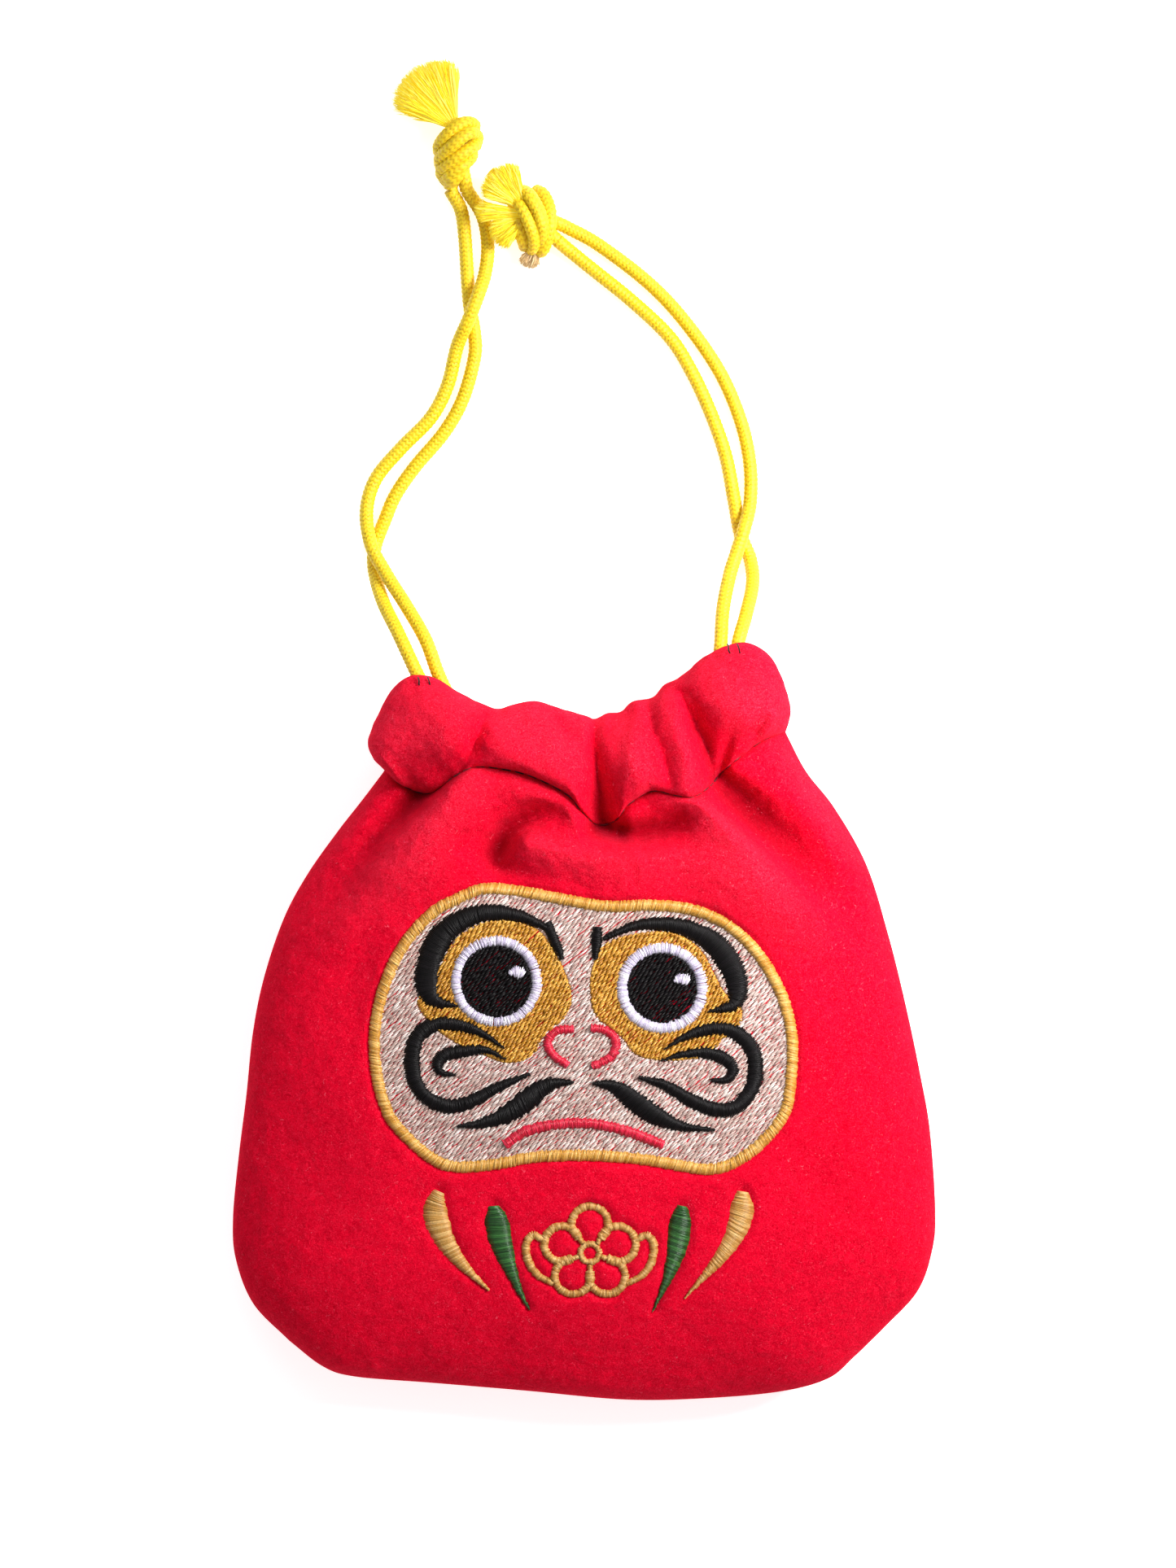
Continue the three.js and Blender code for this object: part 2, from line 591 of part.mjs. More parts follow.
function place(geometry, headingDegrees, x, y, z) {
  geometry.rotateZ(THREE.MathUtils.degToRad(headingDegrees));
  geometry.translate(x, y, z);
  return geometry;
}
addPiece('left_knot', place(knot(13.4, 8.6, 8.2), -3, -26.6, 179.2, 4.3), YELLOW_CORD, 0.6);
addPiece('left_tassel', place(tassel(13, 12.5, 5, 3.2), 32, -27.6, 186.6, 4.3), YELLOW_CORD, 0.6);
addPiece('right_knot', place(knot(13.8, 8.2, 8.2), 22, -11.3, 164.9, 4.4), YELLOW_CORD, 0.6);
addPiece('right_tassel', place(tassel(6.8, 11, 4, 3), 76, -15.8, 168.4, 6.8), YELLOW_CORD, 0.6);

export default pouch;
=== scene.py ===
"""Daruma-face drawstring pouch: fleece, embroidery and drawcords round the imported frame.

Shapes are worked out in millimetres in the frame's own axes and written to Blender in metres.
"""
import bpy
import math
import numpy as np
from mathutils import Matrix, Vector


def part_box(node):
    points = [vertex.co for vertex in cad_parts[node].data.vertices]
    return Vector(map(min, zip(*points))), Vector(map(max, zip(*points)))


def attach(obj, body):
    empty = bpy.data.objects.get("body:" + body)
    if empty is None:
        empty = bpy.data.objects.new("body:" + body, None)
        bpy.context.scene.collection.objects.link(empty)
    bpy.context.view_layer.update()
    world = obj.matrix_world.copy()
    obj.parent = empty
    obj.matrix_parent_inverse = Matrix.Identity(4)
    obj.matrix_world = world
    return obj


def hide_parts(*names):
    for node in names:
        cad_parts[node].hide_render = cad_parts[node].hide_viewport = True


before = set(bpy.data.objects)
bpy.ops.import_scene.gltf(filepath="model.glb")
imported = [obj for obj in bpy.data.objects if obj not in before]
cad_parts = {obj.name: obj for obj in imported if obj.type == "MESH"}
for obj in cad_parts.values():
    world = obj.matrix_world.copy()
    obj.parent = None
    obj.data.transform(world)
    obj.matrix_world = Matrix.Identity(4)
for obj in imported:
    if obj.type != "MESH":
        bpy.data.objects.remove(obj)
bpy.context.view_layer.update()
MM = 0.001
BAG = "bag"
random = np.random.default_rng(7)


# ---------------------------------------------------------------- camera, light and floor

FOCUS = (0.0008, 0.0490, 0.014)     # middle of the view, in metres
VIEW_HEIGHT = 0.3212


def place_camera():
    """Straight above the bag and far away, so that nothing looks tapered."""
    data = bpy.data.cameras.new("camera")
    data.lens = 170
    data.sensor_width = 36
    data.clip_end = 10
    distance = VIEW_HEIGHT * data.lens / data.sensor_width
    camera = bpy.data.objects.new("camera", data)
    camera.location = (FOCUS[0], FOCUS[1], FOCUS[2] + distance)
    bpy.context.collection.objects.link(camera)
    bpy.context.scene.camera = camera


def area_light(name, location, target, size, power, colour, spread=180):
    data = bpy.data.lights.new(name, "AREA")
    data.shape = "DISK"
    data.size = size
    data.energy = power
    data.color = colour
    data.spread = math.radians(spread)
    light = bpy.data.objects.new(name, data)
    light.location = location
    aim = Vector(target) - Vector(location)
    light.rotation_euler = aim.to_track_quat("-Z", "Y").to_euler()
    bpy.context.collection.objects.link(light)


def light_studio():
    """Pale surroundings, a small key light on the right and a wide fill beyond the knots."""
    world = bpy.data.worlds.new("studio")
    world.use_nodes = True
    background = world.node_tree.nodes["Background"]
    background.inputs["Color"].default_value = (1, 1, 1, 1)
    background.inputs["Strength"].default_value = 0.34
    bpy.context.scene.world = world
    area_light("key", (0.33, 0.19, 0.33), (0.08, 0.08, 0.02), size=0.26, power=0.69,
               colour=(1.0, 0.985, 0.97), spread=62)
    area_light("fill", (-0.15, 0.66, 0.62), (0, 0.02, 0), size=0.6, power=1.35,
               colour=(0.98, 0.98, 1.0))
    bpy.context.scene.view_settings.view_transform = "Standard"


def lay_floor():
    bpy.ops.mesh.primitive_plane_add(size=6, location=(0, 0, 0))
    floor = bpy.context.object
    floor.name = "floor"
    n = Nodes("paper")
    n.set(Base_Color=(0.9, 0.9, 0.9, 1), Roughness=0.9, Emission_Color=(1, 1, 1, 1),
          Emission_Strength=0.72)
    floor.data.materials.append(n.material)


# ---------------------------------------------------------------- material building blocks

def rgba(code):
    """A linear colour with full opacity, from six hex digits."""
    parts = [int(code[i:i + 2], 16) / 255 for i in (0, 2, 4)]
    return (*(p / 12.92 if p <= 0.04045 else ((p + 0.055) / 1.055) ** 2.4 for p in parts), 1)


class Nodes:
    """A short way to write a material's node tree. Colours are given as hex digits."""

    def __init__(self, name):
        self.material = bpy.data.materials.new(name)
        self.material.use_nodes = True
        self.tree = self.material.node_tree
        self.shader = self.tree.nodes["Principled BSDF"]

    def add(self, kind, **settings):
        node = self.tree.nodes.new(kind)
        for key, value in settings.items():
            setattr(node, key, value)
        return node

    def link(self, source, target):
        self.tree.links.new(source, target)

    def set(self, **values):
        for key, value in values.items():
            self.shader.inputs[key.replace("_", " ")].default_value = value

    def finish(self, colour, normal=None):
        self.link(colour, self.shader.inputs["Base Color"])
        if normal is not None:
            self.link(normal, self.shader.inputs["Normal"])
        return self.material

    def relief(self):
        return self.add("ShaderNodeAttribute", attribute_name="relief").outputs["Fac"]

    def island(self):
        """A random value for each separate thread or fibre."""
        return self.add("ShaderNodeNewGeometry").outputs["Random Per Island"]

    def coordinates(self):
        return self.add("ShaderNodeTexCoord").outputs["Object"]

    def noise(self, scale, detail, roughness, distortion):
        node = self.add("ShaderNodeTexNoise")
        node.inputs["Scale"].default_value = scale
        node.inputs["Detail"].default_value = detail
        node.inputs["Roughness"].default_value = roughness
        node.inputs["Distortion"].default_value = distortion
        self.link(self.coordinates(), node.inputs["Vector"])
        return node.outputs["Fac"]

    def ramp(self, source, *stops):
        """Colours by (position, code), from low to high."""
        node = self.add("ShaderNodeValToRGB")
        elements = node.color_ramp.elements
        for element, (position, code) in zip((elements[0], elements[1]), (stops[0], stops[-1])):
            element.position, element.color = position, rgba(code)
        for position, code in stops[1:-1]:
            elements.new(position).color = rgba(code)
        self.link(source, node.inputs["Fac"])
        return node.outputs["Color"]

    def mix(self, first, second, amount, blend="MIX"):
        node = self.add("ShaderNodeMix", data_type="RGBA", blend_type=blend)
        for socket, value in zip((node.inputs[0], node.inputs[6], node.inputs[7]),
                                 (amount, first, second)):
            if hasattr(value, "links"):
                self.link(value, socket)
            else:
                socket.default_value = rgba(value) if isinstance(value, str) else value
        return node.outputs[2]

    def bump(self, height, strength, distance, below=None):
        node = self.add("ShaderNodeBump")
        node.inputs["Strength"].default_value = strength
        node.inputs["Distance"].default_value = distance
        self.link(height, node.inputs["Height"])
        if below is not None:
            self.link(below, node.inputs["Normal"])
        return node.outputs["Normal"]


def fleece_material():
    """Short brushed pile: matt, with lighter fibre tips and a soft sheen at grazing angles, plus
    painted shade in the folds and a painted highlight on the crests.
    """
    n = Nodes("fleece")
    n.set(Roughness=0.95, Specular_IOR_Level=0.03, Sheen_Weight=0.40, Sheen_Roughness=0.40,
          Sheen_Tint=rgba("FF3458"))
    hairs = n.noise(1700, 5, 0.72, 2.0)
    tufts = n.noise(900, 3, 0.6, 1.4)
    clumps = n.noise(260, 2, 0.55, 0.8)
    brushed = n.noise(45, 2, 0.5, 0.4)
    pile = n.ramp(hairs, (0.36, "B80018"), (0.50, "E00020"), (0.64, "FF3050"))
    tips = n.ramp(tufts, (0.36, "D00024"), (0.64, "FF0836"))
    patches = n.ramp(clumps, (0.32, "E20028"), (0.68, "F60030"))
    colour = n.mix(n.mix(pile, tips, 0.40), patches, 0.15)
    colour = n.mix(colour, n.ramp(brushed, (0.35, "F0F0F0"), (0.65, "FFFFFF")), 0.6, "MULTIPLY")
    # painted shade and highlight: the fold relief darkens the fleece at the bottom of folds and mixes
    # lighter pink pile onto high crests
    depth = n.relief()
    crease_shade = n.ramp(depth, (0.0, "B0A0A0"), (0.5, "FFFFFF"), (1.0, "FFFFFF"))
    raised = n.ramp(depth, (0.62, "000000"), (1.0, "8C8C8C"))
    crest_highlight_pile = n.ramp(hairs, (0.38, "E80628"), (0.62, "FF4C68"))
    colour = n.mix(n.mix(colour, crease_shade, 1.0, "MULTIPLY"), crest_highlight_pile, raised)
    specks = n.ramp(n.noise(1300, 1, 0.5, 1.6), (0.68, "000000"), (0.80, "AAAAAA"))
    colour = n.mix(colour, "FF6C84", specks)
    return n.finish(colour, n.bump(hairs, 0.7, 0.0003, n.bump(tufts, 0.5, 0.0005)))


def woven_material(name, dark, light):
    """Plain weave for the lining, from two crossed waves."""
    n = Nodes(name)
    n.set(Roughness=0.8, Specular_IOR_Level=0.3, Sheen_Weight=0.2, Sheen_Roughness=0.4)
    weave = n.add("ShaderNodeMath", operation="MULTIPLY")
    for k, direction in enumerate("XY"):
        wave = n.add("ShaderNodeTexWave", bands_direction=direction)
        wave.inputs["Scale"].default_value = 420
        wave.inputs["Distortion"].default_value = 0.6
        n.link(n.coordinates(), wave.inputs["Vector"])
        n.link(wave.outputs["Fac"], weave.inputs[k])
    colour = n.ramp(weave.outputs[0], (0.1, dark), (0.8, light))
    return n.finish(colour, n.bump(weave.outputs[0], 0.5, 0.0003))


def felt_material(name, dark, light):
    n = Nodes(name)
    n.set(Roughness=0.9, Specular_IOR_Level=0.2)
    fibres = n.noise(800, 4, 0.7, 3.0)
    return n.finish(n.ramp(fibres, (0.3, dark), (0.7, light)), n.bump(fibres, 0.4, 0.0003))


def thread_material(name, dark, middle, light, gloss=0.36, shine=0.5):
    """Rayon thread: every stitch has its own shade, with fine filaments along it."""
    n = Nodes(name)
    n.set(Roughness=gloss, Specular_IOR_Level=shine, Sheen_Weight=0.2, Sheen_Roughness=0.35,
          Sheen_Tint=rgba(light))
    tone = n.ramp(n.island(), (0.0, dark), (0.45, middle), (1.0, light))
    filaments = n.noise(2600, 2, 0.6, 0.5)
    grain = n.ramp(filaments, (0.3, "D0D0D0"), (0.7, "FFFFFF"))
    return n.finish(n.mix(tone, grain, 0.8, "MULTIPLY"), n.bump(filaments, 0.35, 0.0001))


def cord_material():
    """Braided polyester: saturated yellow, with painted orange-brown shade between the yarns and a
    painted highlight on the yarn tops.
    """
    n = Nodes("cord")
    n.set(Roughness=0.5, Specular_IOR_Level=0.4, Sheen_Weight=0.35, Sheen_Roughness=0.35,
          Sheen_Tint=rgba("FFFF90"), Subsurface_Weight=0.15, Subsurface_Scale=0.0006,
          Subsurface_Radius=(1.0, 0.8, 0.1))
    # painted shade and highlight: darker orange-brown where the braid's beads dip between yarns,
    # lighter yellow on the bead tops
    tone = n.ramp(n.relief(), (0.0, "C08E00"), (0.45, "F4CC10"), (1.0, "FFEA30"))
    yarn = n.noise(3000, 2, 0.6, 0.4)
    grain = n.ramp(yarn, (0.3, "E4E0D8"), (0.7, "FFFFFF"))
    return n.finish(n.mix(tone, grain, 0.7, "MULTIPLY"), n.bump(yarn, 0.3, 0.0001))


def fibre_material(name, dark, middle, light):
    """Unbraided filaments: soft and pale at the tips, with a weak emission as a painted glow that
    stands in for light passing through them.
    """
    n = Nodes(name)
    # painted glow: a weak emission in the middle colour stands in for light scattered through the
    # filaments
    n.set(Roughness=0.7, Specular_IOR_Level=0.15, Sheen_Weight=0.5, Sheen_Roughness=0.4,
          Sheen_Tint=rgba(light), Emission_Color=rgba(middle), Emission_Strength=0.22)
    tone = n.ramp(n.island(), (0.0, dark), (0.5, middle), (1.0, light))
    streaks = n.ramp(n.noise(1800, 2, 0.6, 0.4), (0.3, "E8E4D8"), (0.7, "FFFFFF"))
    return n.finish(n.mix(tone, streaks, 0.7, "MULTIPLY"))


# Slot names with what fills them. Filaments share the slot of the cord that they fray from.
MATERIALS = {
    "red_fleece": fleece_material(),
    "red_lining": woven_material("lining", "8E0A22", "C8183A"),
    "white_stabiliser": felt_material("stabiliser", "D8D4CC", "F4F2EE"),
    "yellow_cord": cord_material(),
}
FILAMENT = fibre_material("filament", "F6D41C", "FFE832", "FFF684")
SINGED = fibre_material("singed_filament", "B49060", "CEB080", "E6D2A8")
for thread, *look in (
    ("red_thread", "4A0410", "6E0A1A", "8E1424", 0.5),
    ("gold_thread", "C98A2C", "DCA242", "F4C470"),
    ("pale_gold_thread", "BC8438", "D09C4E", "ECC27C"),
    ("face_thread", "BC9C94", "D0B2A8", "F8ECE6"),
    ("orange_thread", "B0741A", "CE9028", "F0B850"),
    ("black_thread", "050304", "090607", "120E11", 0.45, 0.2),
    ("lavender_thread", "C6BAD8", "DCD2EA", "F4F0FA"),
    ("crimson_thread", "C00A2A", "DA1238", "F03052"),
    ("green_thread", "163E16", "23561F", "3F7C38"),
):
    MATERIALS[thread] = thread_material(thread, *look)

place_camera()
light_studio()
lay_floor()


# ---------------------------------------------------------------- curves and meshes

def spline(points, count, closed=False):
    """A Catmull-Rom curve through rows of any width, sampled evenly in its own parameter."""
    rows = np.array(points, float)
    size = len(rows)
    if closed:
        t = np.linspace(0, size, count, endpoint=False)
        i = np.floor(t).astype(int)
        a, b, c, d = (rows[(i + k) % size] for k in (-1, 0, 1, 2))
    else:
        rows = np.vstack([2 * rows[0] - rows[1], rows, 2 * rows[-1] - rows[-2]])
        t = np.linspace(0, size - 1, count)
        i = np.minimum(np.floor(t).astype(int), size - 2)
        a, b, c, d = (rows[i + k] for k in (0, 1, 2, 3))
    f = (t - i)[:, None]
    return 0.5 * (2 * b + (c - a) * f + (2 * a - 5 * b + 4 * c - d) * f ** 2
                  + (3 * b - a - 3 * c + d) * f ** 3)


def even(points, spacing=None, count=None):
    """The same line with evenly spaced points, by arc length of its first columns."""
    steps = np.linalg.norm(np.diff(points[:, :3], axis=0), axis=1)
    along = np.concatenate([[0], np.cumsum(steps)])
    if count is None:
        count = max(3, int(round(along[-1] / spacing)) + 1)
    at = np.linspace(0, along[-1], count)
    return np.column_stack([np.interp(at, along, column) for column in points.T])


def smoothstep(low, high, value):
    t = np.clip((value - low) / (high - low), 0, 1)
    return t * t * (3 - 2 * t)


def make_piece(name, points_mm, faces, slot, node=None, body=BAG, relief=None, material=None):
    """A smooth mesh that rides on a body and stands for a node of the frame."""
    mesh = bpy.data.meshes.new(name)
    mesh.from_pydata((np.asarray(points_mm) * MM).tolist(), [], faces)
    mesh.polygons.foreach_set("use_smooth", [True] * len(mesh.polygons))
    if relief is not None:
        layer = mesh.attributes.new("relief", "FLOAT", "POINT")
        layer.data.foreach_set("value", np.asarray(relief, float))
    mesh.materials.append(material or MATERIALS[slot])
    mesh.update()
    piece = bpy.data.objects.new(name, mesh)
    bpy.context.collection.objects.link(piece)
    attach(piece, body)
    if node:
        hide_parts(node)
    return piece


def grid_faces(rows, columns, wrap=False, start=0, flip=False):
    """Faces of a grid of points. wrap joins its last column to its first."""
    faces = []
    for i in range(rows - 1):
        for j in range(columns if wrap else columns - 1):
            j2 = (j + 1) % columns
            face = [start + i * columns + j, start + i * columns + j2,
                    start + (i + 1) * columns + j2, start + (i + 1) * columns + j]
            faces.append(face[::-1] if flip else face)
    return faces


def tube_faces(rings, sides, start=0):
    """Faces of a closed tube: its wall and both ends."""
    last = start + (rings - 1) * sides
    ends = [list(range(start, start + sides))[::-1], list(range(last, last + sides))]
    return grid_faces(rings, sides, wrap=True, start=start) + ends


def places_along(line, at):
    """Points (x, y) at shares from 0 to 1 along a line."""
    place = np.linspace(0, 1, len(line))
    return np.column_stack([np.interp(at, place, line[:, k]) for k in (0, 1)])


def crowded(even_shares, amount):
    """Shares from 0 to 1 moved towards both ends, where cloth turns most."""
    return even_shares - amount * np.sin(2 * math.pi * even_shares)


def read_grid(values, across, up):
    """A grid's values between its points, at fractional rows and columns."""
    i, j = across.astype(int), up.astype(int)
    u, v = across - i, up - j
    return ((values[i, j] * (1 - u) + values[i + 1, j] * u) * (1 - v)
            + (values[i, j + 1] * (1 - u) + values[i + 1, j + 1] * u) * v)


# ---------------------------------------------------------------- the bag's outlines, in mm

SEAM_Z = float(np.mean([corner[2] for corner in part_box("side_seam_thread")])) / MM + 0.4
LEFT_NECK = (-40.9, 51.8)
RIGHT_NECK = (41.3, 59.6)
LEFT_SIDE = [
    (-60.4, -65.2), (-67.8, -57.6), (-71.4, -48.5), (-72, -40), (-70.8, -27.1), (-69.3, -15.1),
    (-67.9, -1.8), (-65.6, 9.5), (-61.6, 21.4), (-56.8, 30.4), (-50.6, 39.2), (-45.6, 45.6), LEFT_NECK,
]
RIGHT_SIDE = [
    (60.9, -63.1), (68.3, -55.1), (71.4, -46.5), (72, -38), (70.9, -22), (68.9, -10.4), (65.9, 3.9),
    (62.4, 18), (57.9, 32.4), (51.4, 44), (45.5, 51.6), RIGHT_NECK,
]
BASE = [
    (-60.4, -65.2), (-53.6, -70.4), (-47, -72.5), (-31.1, -73.8), (-12, -75.4), (8, -77.2), (24, -77),
    (40, -75.6), (50, -72.9), (55.4, -68.4), (60.9, -63.1),
]
CASING_SEAM = [
    LEFT_NECK, (-36.5, 48.4), (-31.5, 47.2), (-26.5, 50.4), (-22, 52.5), (-15.8, 51.9), (-9.8, 50.2),
    (-3.4, 46.8), (-0.6, 43.6), (2.6, 40.8), (6.1, 41.4), (9.2, 45), (13.8, 47.6), (18.5, 46.8),
    (22, 46.4), (25.6, 48.6), (28.6, 51.9), (34.1, 56.4), (37.8, 58.6), RIGHT_NECK,
]
CASING_TOP = [
    LEFT_NECK, (-43.4, 55), (-43.9, 58.6), (-41.9, 63.4), (-39.4, 68.2), (-35.6, 71.1), (-30.8, 70.8),
    (-26, 68), (-21.6, 65.6), (-17.8, 64.3), (-14, 65.4), (-10, 66), (-6.4, 65), (-3.2, 63.9),
    (0.4, 62.9), (2.1, 62.3), (4.8, 63.4), (7.6, 63.8), (10.2, 65.9), (14, 66.6), (16.6, 69.1),
    (20.3, 71.1), (24.1, 74.6), (28.6, 77.1), (33.4, 77.9), (38, 75.2), (40.7, 69.8), (42.1, 64),
    RIGHT_NECK,
]

left_side = even(spline(LEFT_SIDE, 300), count=260)
right_side = even(spline(RIGHT_SIDE, 300), count=260)
base_line = even(spline(BASE, 300), count=260)
casing_seam = even(spline(CASING_SEAM, 500), count=400)
casing_top = even(spline(CASING_TOP, 600), count=500)
rim = np.vstack([
    [[-41.0, 92.0], [-42.0, 74.0], [-42.4, 60.0]], left_side[::-1], base_line[1:],
    right_side[1:], [[42.4, 64.0], [42.0, 78.0], [41.0, 92.0]],
])


def distance_to(line, x, y, chunk=4000):
    """Distance from points to a polyline, where along it the nearest point is (0 to 1), and which
    side of it the point is on (1 on the left of its direction)."""
    start, step = line[:-1, :2], np.diff(line[:, :2], axis=0)
    squared = np.maximum((step ** 2).sum(axis=1), 1e-9)
    near, place, hand = np.empty(len(x)), np.empty(len(x)), np.empty(len(x))
    for i in range(0, len(x), chunk):
        gap = np.stack([x[i:i + chunk], y[i:i + chunk]], axis=1)[:, None] - start
        share = np.clip((gap * step).sum(axis=2) / squared, 0, 1)
        far = np.linalg.norm(gap - share[..., None] * step, axis=2)
        best = far.argmin(axis=1)
        row = np.arange(len(best))
        near[i:i + chunk] = far[row, best]
        place[i:i + chunk] = (best + share[row, best]) / len(step)
        offset, direction = gap[row, best], step[best]
        turn = direction[:, 0] * offset[:, 1] > direction[:, 1] * offset[:, 0]
        hand[i:i + chunk] = np.where(turn, 1, -1)
    return near, place, hand


rim_even = even(rim, spacing=0.8)


class Table:
    """A function of x and y, worked out once on a grid and then read between its points."""

    def __init__(self, low, high, step, function):
        self.low, self.step = low, step
        x = np.arange(low[0], high[0] + step, step)
        y = np.arange(low[1], high[1] + step, step)
        places = np.stack(np.meshgrid(x, y, indexing="ij"), axis=2).reshape(-1, 2)
        self.values = function(*places.T).reshape(len(x), len(y))

    def at(self, x, y):
        rows, columns = self.values.shape
        fx = np.clip((x - self.low[0]) / self.step, 0, rows - 1.001)
        fy = np.clip((y - self.low[1]) / self.step, 0, columns - 1.001)
        return read_grid(self.values, fx, fy)


def rim_distance(x, y, chunk=4000):
    """A smooth distance from the rim: exact beside it, rounded off in the middle of the bag, and
    negative outside it."""
    exact, _, _ = distance_to(rim_even, x, y)
    spacing = np.linalg.norm(rim_even[1] - rim_even[0])
    soft = np.empty(len(x))
    for i in range(0, len(x), chunk):
        gap = np.stack([x[i:i + chunk], y[i:i + chunk]], axis=1)[:, None] - rim_even
        soft[i:i + chunk] = ((gap ** 2).sum(axis=2) ** -2).sum(axis=1)
    soft = (2 / math.pi * spacing * soft) ** (-1 / 3)
    blend = smoothstep(1.5, 5, exact)
    return np.where(inside(rim_even, x, y), exact * (1 - blend) + soft * blend, -exact)


def inside(outline, x, y):
    """Whether points lie inside a closed outline."""
    result = np.zeros(len(x), bool)
    ends = np.roll(outline, -1, axis=0)
    for (ax, ay), (bx, by) in zip(outline, ends):
        if ay != by:
            crosses = (ay > y) != (by > y)
            result ^= crosses & (x < (bx - ax) * (y - ay) / (by - ay) + ax)
    return result


rim_table = Table((-75, -80), (75, 84), 0.75, rim_distance)


def inward(x, y):
    return np.maximum(rim_table.at(x, y), 0)


# ---------------------------------------------------------------- folds and relief, in mm

# Each fold is a line of (x, y, height, width), with hollows below zero.
FRONT_FOLDS = [
    # hollow beside the long left-hand fold
    [(-27, 52.5, -3, 2.2), (-31.5, 48.5, -6.2, 3), (-36.5, 43.5, -4.6, 3.6), (-42, 37.5, -3.2, 4.1),
     (-48, 30, -2.2, 5), (-54, 20, -0.2, 6)],
    # cloth bulging out below the middle of the casing
    [(-19, 49.5, 1, 3.5), (-12, 47.5, 2.2, 3.6), (-5, 45, 2, 3.2), (-1.6, 41.5, 1.6, 2.6),
     (-1.6, 38.5, 0.4, 2.4)],
    # deep hollow wrapped round the nose of the roll and fading out below it
    [(-2.5, 42.6, -0.2, 2), (-7.5, 43, -2.2, 2.2), (-12, 42, -4.6, 2.4), (-15.8, 39.4, -6.2, 2.7),
     (-17.6, 36, -6, 2.9), (-17.2, 32.6, -3.6, 3), (-13, 30.2, -1.6, 2.9), (-7, 29, -0.9, 2.7),
     (0, 28, -0.6, 2.6), (8, 27.6, -0.1, 2.6)],
    # wide shallow hollow left of the nose
    [(-27, 41, -0.1, 4), (-23, 36.5, -1.6, 4.4), (-22.5, 32, -0.8, 4)],
    # pocket between the roll and the right-hand fold
    [(2.4, 39.6, -4.2, 2.3), (7, 38.8, -5.2, 2.5), (12, 39, -5.4, 2.9), (17, 40.4, -4.4, 3),
     (22, 43, -1.4, 2.8), (26, 45, 0, 2.6)],
    [(2.6, 52, -2.4, 2.6), (2.8, 46, -4.6, 2.8), (3.8, 41.8, -5, 2.7), (6.5, 39.8, -2.6, 2.4)],
    # hollow above the long right-hand fold
    [(26.6, 51.8, -4.4, 1.9), (29.5, 48, -6.2, 3.1), (35, 42.5, -6.4, 4), (42, 35, -4.8, 4.8),
     (50, 25, -2.6, 6), (57, 13, -0.2, 6)],
    # shoulders on the right and left
    [(38, 58, 1.4, 3), (45.5, 49.5, 2.6, 3.8), (52, 39, 2.2, 4.6), (58.5, 26, 0.2, 6)],
    [(-44, 47, 1, 3), (-50, 38, 1.6, 4), (-56, 27, 0.2, 5)],
    # shallow dents low on the right, the left and the base, and beside the face
    [(47, -18, -0.1, 8), (50, -32, -1.5, 8), (44, -44, -0.1, 8)],
    [(-57, -8, -0.1, 8), (-56, -24, -1.2, 9), (-50, -40, -0.1, 8)],
    [(-30, -62, -0.1, 9), (0, -66, -1.2, 9), (30, -64, -0.1, 9)],
    [(-40, 22, -0.1, 4), (-46, 12, -1.2, 5), (-51, -2, -0.1, 6)],
]
# Each lip is a line of (x, y, height, gentle width, steep width): its left side falls gently.
FRONT_LIPS = [
    # long fold from the left of the casing down to the left side
    [(-20.5, 54, 1.2, 5, 1.4), (-24, 51.5, 3.4, 7, 1.5), (-28.5, 47.4, 5, 8, 1.7), (-34, 41.3, 5, 9, 2),
     (-40, 35, 4.4, 9, 2.6), (-45.5, 28.5, 3.2, 9, 3.6), (-50.5, 20.5, 1.6, 9, 5), (-54, 12, 0, 9, 6)],
    # roll under the middle of the casing, ending in a rounded nose on its left
    [(50, 14, 0, 8, 8), (40, 22.5, 1.2, 8, 8), (31, 28.6, 2, 8, 7), (22, 33.2, 2.4, 8, 4.6),
     (14, 34.4, 2.6, 8, 3), (6, 33.8, 2.8, 7.2, 2.8), (0, 34.2, 3, 6.4, 2.8), (-6, 35.6, 3.4, 5.2, 3),
     (-11.4, 36.8, 3.6, 3.2, 3.2)],
    # long fold from the middle of the casing down to the right side
    [(57, 9, 0, 9, 6), (51, 17, 1.4, 9, 5), (44.5, 25, 2.8, 8, 4), (38, 32, 3.8, 7, 3.2),
     (32, 37.8, 4.6, 6, 2.6), (26.5, 42.4, 4.8, 5, 2.2), (21.5, 45.6, 4.2, 4, 1.8),
     (17, 47.5, 3.2, 3.5, 1.6), (13, 48.6, 1, 3, 1.6)],
]
